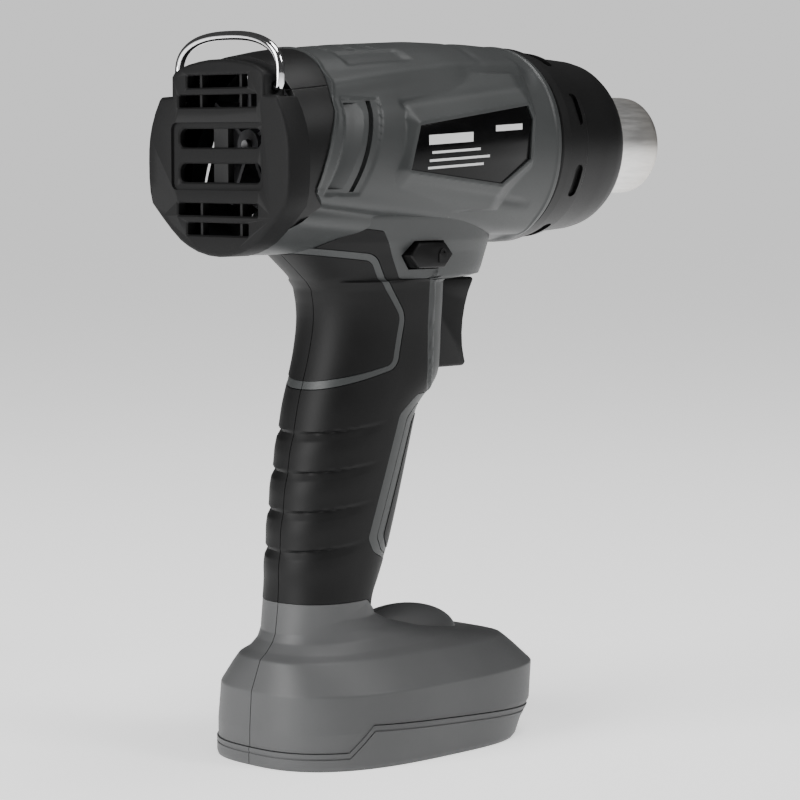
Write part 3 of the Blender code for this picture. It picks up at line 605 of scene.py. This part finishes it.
def gripCover(side):
    cover = gripForm(f"{side}Cover", 0.0, 40.0, 183.0, 286, 220, True)
    carve(cover, cutter(gripForm(f"{side}CoverHollow", skin, 36.0, 186.0, 146, 150)))
    carve(cover, coverTool, how="INTERSECT")
    carve(cover, thumbHole, padHole, skirt, lockSlot)
    carve(cover, halves[side], how="INTERSECT")
    return cover


def softPanel(name, tool, side=None):
    panel = gripForm(name, -0.1, 40.0, 183.0, 200, 200)
    carve(panel, cutter(gripForm(f"{name}Hollow", skin, 36.0, 186.0, 146, 150)))
    carve(panel, tool, how="INTERSECT")
    carve(panel, skirt)
    if side:
        carve(panel, halves[side], how="INTERSECT")
    return panel


print("building the grip")
for side in sides:
    pieces[f"{side}GripCover"] = gripCover(side)
    pieces[f"{side}ThumbPanel"] = softPanel(f"{side}Thumb", thumbTool, side)
pieces["fingerPad"] = softPanel("fingerPad", padTool)
for name, piece in pieces.items():
    print(name, len(piece.data.polygons))


cap = {
    "rear": -100.0,
    "front": -91.0,
    "outline": (          # y and z of one side, from the bottom to the top of the neck
        (0.0, 167.9), (5.0, 168.2), (10.0, 169.2), (14.5, 170.8), (18.6, 172.8), (23.2, 176.2), (27.5, 179.9),
        (32.7, 184.7), (33.8, 188.5), (34.3, 193.0), (34.4, 198.0), (34.3, 202.5), (33.8, 206.4),
        (32.8, 210.2), (31.0, 214.6), (28.7, 218.6), (27.6, 219.5), (22.3, 219.7), (22.3, 226.0),
        (21.2, 227.3), (18.0, 228.9), (13.8, 230.0), (9.5, 230.7), (4.8, 231.2), (0.0, 231.3)),
    "rimBevel": 1.3,
    "recess": (22.3, 10.9, 200.3, 2.4, 1.1),      # half width, half height, centre z, corner, depth
    "slots": (            # centre z, half height, half width, corner
        (224.3, 2.0, 14.6, 0.5), (218.0, 2.0, 18.8, 0.5), (206.1, 3.0, 19.6, 2.2), (194.9, 3.0, 19.6, 2.2),
        (183.2, 2.0, 19.3, 0.5), (176.9, 2.0, 14.8, 0.5)),
    "flare": 0.55,
}


def rearCap():
    half = list(cap["outline"])
    outline = half + [(-y, z) for y, z in half[-2:0:-1]]
    shape = bmesh.new()
    face = shape.faces.new([shape.verts.new((cap["rear"], y, z)) for y, z in outline])
    pulled(shape, [face], (cap["front"] - cap["rear"], 0, 0))
    rim = [edge for edge in shape.edges if all(abs(v.co.x - cap["rear"]) < 0.01 for v in edge.verts)]
    bmesh.ops.bevel(shape, geom=rim, offset=cap["rimBevel"], offset_type="OFFSET", segments=3, profile=0.5,
                    affect="EDGES", material=-1)
    body = fromShape("rearCap", shape)
    inner = [(y * 0.90, axisZ + (z - axisZ) * 0.90) for y, z in outline]
    carve(body, cutter(drawn("capHollow", inner, cap["rear"] + 3.4, 0.0, "rear")))
    halfY, halfZ, z, corner, depth = cap["recess"]
    outside = cap["rear"] - 5.0
    carve(body, cutter(slotTool("capRecess", 0.0, z, halfY, halfZ, corner, cap["rear"] + depth, outside)))
    for number, (z, halfZ, halfY, corner) in enumerate(cap["slots"]):
        sunk = cap["recess"][4] if abs(z - cap["recess"][2]) < cap["recess"][1] else 0.0
        carve(body, cutter(slotTool(f"capSlot{number}", 0.0, z, halfY, halfZ, corner, cap["rear"] + 6.0,
                                    outside, cap["flare"], cap["rear"] + sunk)))
    # upright bars behind the slots
    for place in (-9.6, 9.6):
        for low, high in ((173.5, 187.0), (214.5, 227.0)):
            carve(body, cutter(block("thinBar", (cap["rear"] + 2.0, place - 0.55, low),
                                     (cap["rear"] + 4.4, place + 0.55, high))), how="UNION")
    wideBar = cutter(block("wideBar", (cap["rear"] + 2.0, -3.4, 190.5), (cap["rear"] + 4.4, 3.4, 210.5)))
    carve(body, wideBar, how="UNION")
    # notches beside the neck where the wire's feet swing
    for way in sides.values():
        carve(body, cutter(block("footNotch", (cap["rear"] + 2.2, min(way * 23.4, way * 27.9), 215.4),
                                 (cap["rear"] + 9.4, max(way * 23.4, way * 27.9), 240.0))))
    carve(body, cutter(pin("footBore", 1.9, -40.0, 40.0, (-94.5, 0, 222.2), (0, 1, 0))))
    return soften(body, 0.22)


def rearSection(name, upper):
    form = rolled(name, 40, 400,
                  lambda share, round: shroudPoint(barrel["rear"] + 26.0 * share, 2 * pi * round))
    carve(form, barrelHollow)
    keep = rearTool(f"{name}Keep", -0.15)
    carve(form, keep, how="INTERSECT")
    seam = list(barrel["hoodSeam"])
    lift = 0.12 if upper else -0.12
    line = [(x, z + lift) for x, z in seam]
    end = tall if upper else -40.0
    back = seam[0][0] - 40
    line += [(seam[-1][0], end), (back, end), (back, line[0][1])]
    part = cutter(drawn(f"{name}Side", line, -far, far))
    carve(form, part, how="INTERSECT")
    carve(form, cutter(block(f"{name}Back", (-far, -far, -far), (cap["front"] + 0.3, far, tall))))
    return soften(form, 0.3, 2, 40)


# The black rear is the barrel's plain form, a little fuller at its front edge
def shroudPoint(x, turn):
    centre, halfW, halfH = between(barrel["stations"], x, 3.0)
    y, z = rounded(halfW - 0.1, halfH - 0.1, turn, barrel["power"])
    return x, y, centre + z


bail = {"x": -94.5, "foot": 222.2, "top": 240.4, "half": 25.8, "wire": 1.5, "arch": 12.0, "inward": 19.0}


def hangingBail():
    inner = bail["half"] - bail["wire"]
    crown = bail["top"] - bail["wire"]
    stem = crown - bail["arch"]
    path = [(bail["inward"], bail["foot"]), (inner - 1.2, bail["foot"]), (inner - 0.3, bail["foot"] + 0.3),
            (inner, bail["foot"] + 1.2)]
    for step in range(49):
        turn = pi * step / 48
        path.append(rounded(inner, crown - stem, turn, 2.5))
        path[-1] = (path[-1][0], stem + path[-1][1])
    path += [(-y, z) for y, z in reversed(path[:4])]
    curve = bpy.data.curves.new("hangingBail", "CURVE")
    curve.dimensions = "3D"
    curve.bevel_depth = bail["wire"]
    curve.bevel_resolution = 6
    curve.use_fill_caps = True
    spline = curve.splines.new("POLY")
    spline.points.add(len(path) - 1)
    for knot, (y, z) in zip(spline.points, path):
        knot.co = (bail["x"], y, z, 1.0)
    piece = bpy.data.objects.new("hangingBail", curve)
    bpy.context.scene.collection.objects.link(piece)
    mesh = bpy.data.meshes.new_from_object(piece.evaluated_get(bpy.context.evaluated_depsgraph_get()))
    bpy.data.objects.remove(piece)
    shape = bmesh.new()
    shape.from_mesh(mesh)
    bmesh.ops.remove_doubles(shape, verts=shape.verts, dist=0.001)
    return fromShape("hangingBail", shape)


collar = {
    "outer": (            # radius and x
        (33.4, 28.95), (34.05, 29.5), (34.05, 33.2), (33.7, 33.6), (33.2, 33.8), (33.0, 37.8), (32.6, 43.4),
        (32.0, 44.2), (31.2, 44.6), (31.0, 46.0), (30.7, 55.0), (30.2, 62.0), (29.6, 65.0), (28.6, 66.9),
        (27.2, 68.1), (25.6, 68.6),
        (24.0, 68.7), (19.4, 68.7), (18.8, 68.4), (18.1, 67.6)),
    "inner": ((18.1, 65.6), (25.0, 65.6), (27.4, 61.0), (28.9, 43.0), (31.4, 28.95)),
    "slots": 8,
}
nozzle = {
    "profile": (          # radius and x: the outside from the rear, the rolled lip, and the inside back
        (17.5, 40.0), (17.5, 69.5), (17.5, 97.6), (17.42, 98.6), (17.3, 99.4), (17.05, 99.85), (16.75, 100.0),
        (16.5, 99.8), (16.45, 99.2), (16.5, 98.0), (16.5, 40.0)),
}


def frontCollar():
    body = spun("frontCollar", list(collar["outer"]) + list(collar["inner"]), 160)
    for number in range(collar["slots"]):
        turn = 2 * pi * (number + 0.5) / collar["slots"]
        shape = bmesh.new()
        bmesh.ops.create_grid(shape, x_segments=1, y_segments=1, size=1.0)
        bmesh.ops.scale(shape, vec=(2.0, 6.0, 1.0), verts=shape.verts)
        bmesh.ops.bevel(shape, geom=shape.verts[:], offset=1.9, offset_type="OFFSET", segments=5, profile=0.5,
                        affect="VERTICES", material=-1)
        pulled(shape, shape.faces[:], (0, 0, 12))
        bmesh.ops.transform(shape, matrix=Matrix.Translation((0, 0, axisZ)) @ Matrix.Rotation(turn, 4, "X")
                            @ Matrix.Translation((39.8, 0, 31.2)), verts=shape.verts)
        carve(body, cutter(fromShape(f"collarSlot{number}", shape)))
    return body


def triggerPiece():
    half = trigger["halfWidth"]
    body = drawn("triggerPiece", trigger["outline"], -half, half)
    return soften(body, 1.3, 4, 50)


# The lock's button: a long six-sided slider, its ends bevelled, with a raised padlock on its face
def lockButton():
    body = drawn("lockButton", lockOutline, -lock["reach"], lock["reach"])
    soften(body, 0.7, 3, 20)
    for way in sides.values():
        face = way * lock["reach"]
        low, high = min(face - way, face + 0.35 * way), max(face - way, face + 0.35 * way)
        carve(body, cutter(block("padlockCase", (-24.9, low, 164.9), (-20.9, high, 167.9))), how="UNION")
        ring = bmesh.new()
        bmesh.ops.create_cone(ring, cap_ends=True, segments=24, radius1=1.6, radius2=1.6, depth=high - low)
        bmesh.ops.transform(ring, matrix=Matrix.Translation((-22.9, (low + high) / 2, 167.9))
                            @ Matrix.Rotation(pi / 2, 4, "X"), verts=ring.verts)
        shackle = cutter(fromShape("shackle", ring))
        carve(shackle, cutter(pin("shackleHole", 0.95, -2.0, 2.0, (-22.9, face, 167.9), (0, 1, 0))))
        carve(body, shackle, how="UNION")
    return body


# Printed bars stand where the plate would carry its wording
bars = (                  # low x, high x, low z, high z, each row sloping as the plate does
    (-38.5, -17.5, 205.2, 208.4), (-6.5, 6.5, 208.0, 210.0), (-37.0, -14.0, 202.2, 203.0),
    (-38.2, -9.5, 199.6, 200.4), (-39.0, -12.5, 197.2, 198.0))


def labelPlate(side):
    way = sides[side]
    low, high = sorted((way * label["back"], way * label["face"]))
    plate = drawn(f"{side}Label", label["outline"], low, high)
    return soften(plate, 0.25, 2, 50)


def labelBars(side):
    way = sides[side]
    low, high = sorted((way * (label["face"] - 0.02), way * (label["face"] + 0.06)))
    shape = bmesh.new()
    for left, right, bottom, top in bars:
        made = bmesh.ops.create_cube(shape, size=1.0)["verts"]
        bmesh.ops.scale(shape, vec=(right - left, high - low, top - bottom), verts=made)
        bmesh.ops.translate(shape, vec=((left + right) / 2, (low + high) / 2, (bottom + top) / 2), verts=made)
        for vert in made:
            vert.co.z += 0.055 * (vert.co.x + 16.0)
    return fromShape(f"{side}LabelBars", shape)


def batteryCase(side):
    case = footForm(f"{side}Case", 0.0, 0.0, 22.0, 60, 320)
    carve(case, cutter(footForm(f"{side}CaseHollow", wall, wall, wall + 14.0, 24, 120)))
    carve(case, seamTool(f"{side}CaseTop", foot["seam"], -0.15, False))
    groove = [(x, z - 1.5) for x, z in foot["seam"]] + [(x, z - 2.1) for x, z in reversed(foot["seam"])]
    shell = footForm(f"{side}Line", -3.0, -1.0, 22.0, 60, 320)
    carve(shell, cutter(footForm(f"{side}LineFloor", 0.35, -2.0, 23.0, 60, 320)))
    carve(shell, cutter(drawn(f"{side}LineSide", groove, -far, far)), how="INTERSECT")
    scrap.append(shell)
    carve(case, shell)
    carve(case, halves[side], how="INTERSECT")
    return case


print("building the rear, the nozzle and the controls")
pieces["rearCap"] = rearCap()
pieces["rearShroud"] = rearSection("rearShroud", False)
pieces["rearHood"] = rearSection("rearHood", True)
pieces["hangingBail"] = hangingBail()
pieces["frontCollar"] = frontCollar()
pieces["nozzleTube"] = spun("nozzleTube", nozzle["profile"], 160)
pieces["trigger"] = triggerPiece()
pieces["lockButton"] = lockButton()
for side in sides:
    pieces[f"{side}LabelPlate"] = labelPlate(side)
    pieces[f"{side}LabelBars"] = labelBars(side)
    pieces[f"{side}BatteryCase"] = batteryCase(side)


class Link:
    def __init__(self, finish, socket):
        self.finish = finish
        self.socket = socket

    def maths(self, operation, first, second):
        return self.finish.node("ShaderNodeMath", {"operation": operation}, {0: first, 1: second})

    def __add__(self, other):
        return self.maths("ADD", self, other)

    def __radd__(self, other):
        return self.maths("ADD", other, self)

    def __sub__(self, other):
        return self.maths("SUBTRACT", self, other)

    def __mul__(self, other):
        return self.maths("MULTIPLY", self, other)


class Finish:
    def __init__(self, name, steady=None):
        self.material = bpy.data.materials.new(name)
        self.material.use_nodes = True
        self.tree = self.material.node_tree
        self.shader = self.tree.nodes["Principled BSDF"]
        for socket, value in (steady or {}).items():
            self.shader.inputs[socket].default_value = value
        self.place = self.node("ShaderNodeTexCoord", output="Object")

    def node(self, kind, settings=None, inputs=None, output=0):
        made = self.tree.nodes.new(kind)
        for key, value in (settings or {}).items():
            setattr(made, key, value)
        for key, value in (inputs or {}).items():
            if isinstance(value, Link):
                self.tree.links.new(value.socket, made.inputs[key])
            else:
                made.inputs[key].default_value = value
        return Link(self, made.outputs[output])

    def noise(self, scale, detail=3.0, rough=0.5, stretch=(1, 1, 1)):
        place = self.node("ShaderNodeMapping", None, {"Vector": self.place, "Scale": stretch})
        return self.node("ShaderNodeTexNoise", None,
                         {"Vector": place, "Scale": scale, "Detail": detail, "Roughness": rough})

    def ramp(self, value, low, high):
        return self.node("ShaderNodeMapRange", {"interpolation_type": "SMOOTHSTEP"},
                         {"Value": value, "From Min": low, "From Max": high})

    def blend(self, share, first, second):
        made = self.node("ShaderNodeMix", {"data_type": "RGBA"}, {0: share}, 2)
        for key, value in ((6, first), (7, second)):
            if isinstance(value, Link):
                self.tree.links.new(value.socket, made.socket.node.inputs[key])
            else:
                made.socket.node.inputs[key].default_value = (*value, 1.0)
        return made

    def worn(self):
        return self.node("ShaderNodeNewGeometry", output="Pointiness")

    def bump(self, height, strength, distance):
        return self.node("ShaderNodeBump", None,
                         {"Height": height, "Strength": strength, "Distance": distance})

    def feed(self, **links):
        for socket, link in links.items():
            self.tree.links.new(link.socket, self.shader.inputs[socket.replace("_", " ")])
        return self.material


def shade(colour, by):
    return tuple(max(0.0, part * by) for part in colour)


# Spark-eroded moulding: a fine even grain, faint cloudiness, lighter worn edges
def moulded(name, colour, rough, grain=1500.0, depth=0.00006, strength=0.35, wear=0.35, steady=None):
    finish = Finish(name, steady)
    cloud = finish.noise(24.0, 4.0, 0.6)
    fine = finish.noise(grain, 2.0, 0.6)
    scuff = finish.ramp(finish.noise(300.0, 5.0, 0.7, (1.0, 1.0, 0.35)), 0.62, 0.78)
    edge = finish.ramp(finish.worn(), 0.53, 0.60)
    base = finish.blend(finish.ramp(cloud, 0.25, 0.75), shade(colour, 0.90), shade(colour, 1.10))
    base = finish.blend(scuff * 0.12, base, shade(colour, 1.5))
    base = finish.blend(edge * wear, base, tuple(min(1.0, part * 1.5 + 0.02) for part in colour))
    rougher = rough + (cloud - 0.5) * 0.10 + (fine - 0.5) * 0.14 - edge * 0.08
    return finish.feed(Base_Color=base, Roughness=rougher, Normal=finish.bump(fine, strength, depth))


# Soft overmould: matte, with a dusty bloom and very fine pores
def softCover(name, colour, rough):
    finish = Finish(name, {"Specular IOR Level": 0.22})
    cloud = finish.noise(34.0, 5.0, 0.65)
    pores = finish.node("ShaderNodeTexVoronoi", {"feature": "F1"}, {"Vector": finish.place, "Scale": 1300.0})
    dust = finish.ramp(finish.noise(90.0, 6.0, 0.7), 0.52, 0.80)
    edge = finish.ramp(finish.worn(), 0.52, 0.60)
    base = finish.blend(finish.ramp(cloud, 0.3, 0.7), shade(colour, 0.85), shade(colour, 1.2))
    base = finish.blend(dust * 0.10, base, shade(colour, 2.2))
    base = finish.blend(edge * 0.25, base, shade(colour, 2.4))
    rougher = rough + (cloud - 0.5) * 0.12 - edge * 0.06
    return finish.feed(Base_Color=base, Roughness=rougher, Normal=finish.bump(pores, 0.25, 0.00005))


# Metal drawn or turned along one way, with fine lines and a heat tint
def drawnMetal(name, colour, rough, stretch, tint=None, lines=0.10, strength=0.12):
    finish = Finish(name, {"Metallic": 1.0})
    grain = finish.noise(700.0, 4.0, 0.6, stretch)
    cloud = finish.noise(45.0, 4.0, 0.6)
    base = finish.blend(finish.ramp(grain, 0.3, 0.7), shade(colour, 0.90), shade(colour, 1.06))
    base = finish.blend(finish.ramp(cloud, 0.45, 0.85) * 0.35, base, shade(colour, 0.8))
    if tint:
        warm, low, high = tint
        along = finish.node("ShaderNodeSeparateXYZ", None, {"Vector": finish.place})
        base = finish.blend(finish.ramp(along + (cloud - 0.5) * 0.006, low, high) * 0.55, base, warm)
    rougher = rough + (grain - 0.5) * lines + (cloud - 0.5) * 0.08
    return finish.feed(Base_Color=base, Roughness=rougher, Normal=finish.bump(grain, strength, 0.00003))


# A gloss plate with the faint print of fingers on it
def glossPlate(name, colour, rough):
    finish = Finish(name, {"Coat Weight": 0.06, "Coat Roughness": 0.12, "Specular IOR Level": 0.2})
    smear = finish.noise(60.0, 6.0, 0.65, (1.0, 1.0, 2.2))
    specks = finish.ramp(finish.noise(1800.0, 2.0, 0.5), 0.70, 0.80)
    base = finish.blend(specks * 0.15, colour, shade(colour, 4.0))
    return finish.feed(Base_Color=base, Roughness=rough + finish.ramp(smear, 0.4, 0.8) * 0.16,
                       Normal=finish.bump(smear, 0.05, 0.00004))


def fibre(name, colour, spot, rough, scale):
    finish = Finish(name)
    flake = finish.node("ShaderNodeTexVoronoi", {"feature": "F1"}, {"Vector": finish.place, "Scale": scale})
    cloud = finish.noise(120.0, 5.0, 0.6)
    base = finish.blend(finish.ramp(flake, 0.1, 0.7), colour, spot)
    base = finish.blend(finish.ramp(cloud, 0.4, 0.8) * 0.4, base, shade(colour, 0.7))
    return finish.feed(Base_Color=base, Roughness=rough + (cloud - 0.5) * 0.2,
                       Normal=finish.bump(flake, 0.2, 0.00008))


print("making the finishes")
finishes = {
    "housing_grey": moulded("housingGrey", (0.031, 0.0335, 0.0335), 0.46, 1300.0, 0.00005, 0.30, 0.35),
    "overmould": softCover("overmould", (0.0042, 0.0042, 0.0043), 0.52),
    "rear_grille": moulded("rearGrille", (0.0055, 0.0055, 0.0057), 0.62, 1500.0, 0.00008, 0.5, 0.30,
                           {"Specular IOR Level": 0.18}),
    "black_shell": moulded("blackShell", (0.0036, 0.0036, 0.0037), 0.42, 1600.0, 0.00004, 0.25, 0.30,
                           {"Specular IOR Level": 0.28}),
    "control_black": moulded("controlBlack", (0.0032, 0.0032, 0.0033), 0.42, 1700.0, 0.00003, 0.2, 0.35,
                             {"Specular IOR Level": 0.22}),
    "chrome_wire": drawnMetal("chromeWire", (0.80, 0.80, 0.81), 0.10, (1.0, 1.0, 1.0), None, 0.05, 0.04),
    "nozzle_steel": drawnMetal("nozzleSteel", (0.84, 0.83, 0.81), 0.36, (0.15, 1.0, 1.0),
                               ((0.50, 0.43, 0.34), 0.085, 0.110), 0.12, 0.12),
    "gloss_label": glossPlate("glossLabel", (0.0022, 0.0022, 0.0024), 0.16),
    "mica": fibre("mica", (0.62, 0.58, 0.50), (0.74, 0.70, 0.62), 0.55, 700.0),
    "resistance_wire": drawnMetal("resistanceWire", (0.50, 0.36, 0.27), 0.38, (1.0, 1.0, 1.0)),
    "motor_steel": drawnMetal("motorSteel", (0.55, 0.55, 0.56), 0.30, (0.1, 1.0, 1.0)),
    "armature_copper": drawnMetal("armatureCopper", (0.66, 0.32, 0.15), 0.34, (1.0, 0.2, 0.2)),
    "inner_plastic": moulded("innerPlastic", (0.030, 0.030, 0.033), 0.50),
    "circuit_board": fibre("circuitBoard", (0.012, 0.11, 0.045), (0.020, 0.17, 0.070), 0.40, 900.0),
    "pack_case": moulded("packCase", (0.068, 0.069, 0.070), 0.50, 1300.0, 0.00006, 0.35, 0.30),
    "cell_wrap": glossPlate("cellWrap", (0.03, 0.11, 0.34), 0.28),
    "screw_steel": drawnMetal("screwSteel", (0.22, 0.22, 0.23), 0.34, (1.0, 1.0, 1.0)),
}
footGrey = moulded("footGrey", (0.068, 0.069, 0.070), 0.50, 1300.0, 0.00006, 0.35, 0.30)
printWhite = moulded("printWhite", (0.72, 0.72, 0.72), 0.45, 900.0, 0.00002, 0.1, 0.0)

slotOf = {sub["node"]: sub["material_slot"] for sub in frame["record"]["subparts"]}
stands = {"fingerPad": "front_finger_pad", "rearCap": "rear_cap", "rearShroud": "rear_shroud",
          "rearHood": "rear_hood", "hangingBail": "hanging_bail", "frontCollar": "front_collar",
          "nozzleTube": "nozzle_tube", "trigger": "trigger", "lockButton": "lock_button"}
for side in sides:
    for part, ending in (("Housing", "housing"), ("GripCover", "grip_cover"), ("ThumbPanel", "thumb_panel"),
                         ("LabelPlate", "label_plate"), ("BatteryCase", "battery_case")):
        stands[side + part] = f"{side}_{ending}"
bodyOf = {node: body for body, nodes in frame["record"]["behaviour"]["bodies"].items() for node in nodes}

for piece in scrap:
    if piece.name in bpy.data.objects:
        bpy.data.objects.remove(piece)

print("placing the pieces")
for name, piece in pieces.items():
    piece.name = name
    piece.data.name = name
    piece.data.transform(Matrix.Scale(toMetres, 4))
    piece.data.materials.clear()
    node = stands.get(name)
    piece.data.materials.append(finishes[slotOf[node]] if node else printWhite)
    piece.data.shade_smooth()
    piece.data.set_sharp_from_angle(angle=radians(32))
    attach(piece, bodyOf[node] if node else "housing")
    if node:
        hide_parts(node)
for side in sides:
    shell = pieces[f"{side}Housing"].data
    shell.materials.append(footGrey)
    for face in shell.polygons:
        if face.center.z < 0.0535:
            face.material_index = 1
for node, body in bodyOf.items():
    thing = frame["nodes"][node]
    for slot in thing.material_slots:
        slot.material = finishes[slotOf[node]]

print("lighting the stage")
room = {"floor": 60.0, "glow": 0.85, "fill": 0.06, "seen": 0.9}
bpy.ops.mesh.primitive_plane_add(size=room["floor"], location=(0, 0, 0))
floor = bpy.context.object
floor.name = "floor"
paper = Finish("paper", {"Roughness": 0.85, "Emission Color": (1.0, 1.0, 1.0, 1.0),
                         "Emission Strength": room["glow"]})
paperCloud = paper.noise(6.0, 4.0, 0.5)
paperTone = paper.blend(paperCloud, (0.80, 0.80, 0.80), (0.84, 0.84, 0.84))
floor.data.materials.append(paper.feed(Base_Color=paperTone))

world = bpy.data.worlds.new("studio")
bpy.context.scene.world = world
world.use_nodes = True
backdrop = world.node_tree.nodes["Background"]
backdrop.inputs["Color"].default_value = (1.0, 1.0, 1.0, 1.0)
# white to look at, but only a low even light on the object
seen = world.node_tree.nodes.new("ShaderNodeLightPath")
level = world.node_tree.nodes.new("ShaderNodeMapRange")
level.inputs["To Min"].default_value = room["fill"]
level.inputs["To Max"].default_value = room["seen"]
world.node_tree.links.new(seen.outputs["Is Camera Ray"], level.inputs["Value"])
world.node_tree.links.new(level.outputs[0], backdrop.inputs["Strength"])


def softbox(name, place, aim, width, height, power):
    lamp = bpy.data.lights.new(name, "AREA")
    lamp.shape = "RECTANGLE"
    lamp.size = width
    lamp.size_y = height
    lamp.energy = power
    thing = bpy.data.objects.new(name, lamp)
    thing.location = place
    thing.rotation_euler = (Vector(aim) - Vector(place)).to_track_quat("-Z", "Y").to_euler()
    bpy.context.scene.collection.objects.link(thing)


softbox("rearLight", (-1.25, 0.20, 0.60), (0.0, 0.0, 0.14), 0.7, 1.0, 21.0)
softbox("topLight", (0.10, -0.20, 1.40), (0.0, 0.0, 0.20), 0.9, 0.6, 13.0)
softbox("nozzleLight", (0.45, -1.15, 1.05), (0.08, 0.0, 0.20), 0.4, 0.5, 8.0)

view = {"place": (-0.6959, -0.6792, 0.2024), "along": (0.704, 0.704, -0.089), "lens": 126.0}
camera = bpy.data.cameras.new("camera")
camera.lens = view["lens"]
camera.sensor_width = 36.0
camera.clip_start = 0.01
eye = bpy.data.objects.new("camera", camera)
eye.location = view["place"]
eye.rotation_euler = Vector(view["along"]).to_track_quat("-Z", "Y").to_euler()
bpy.context.scene.collection.objects.link(eye)
bpy.context.scene.camera = eye
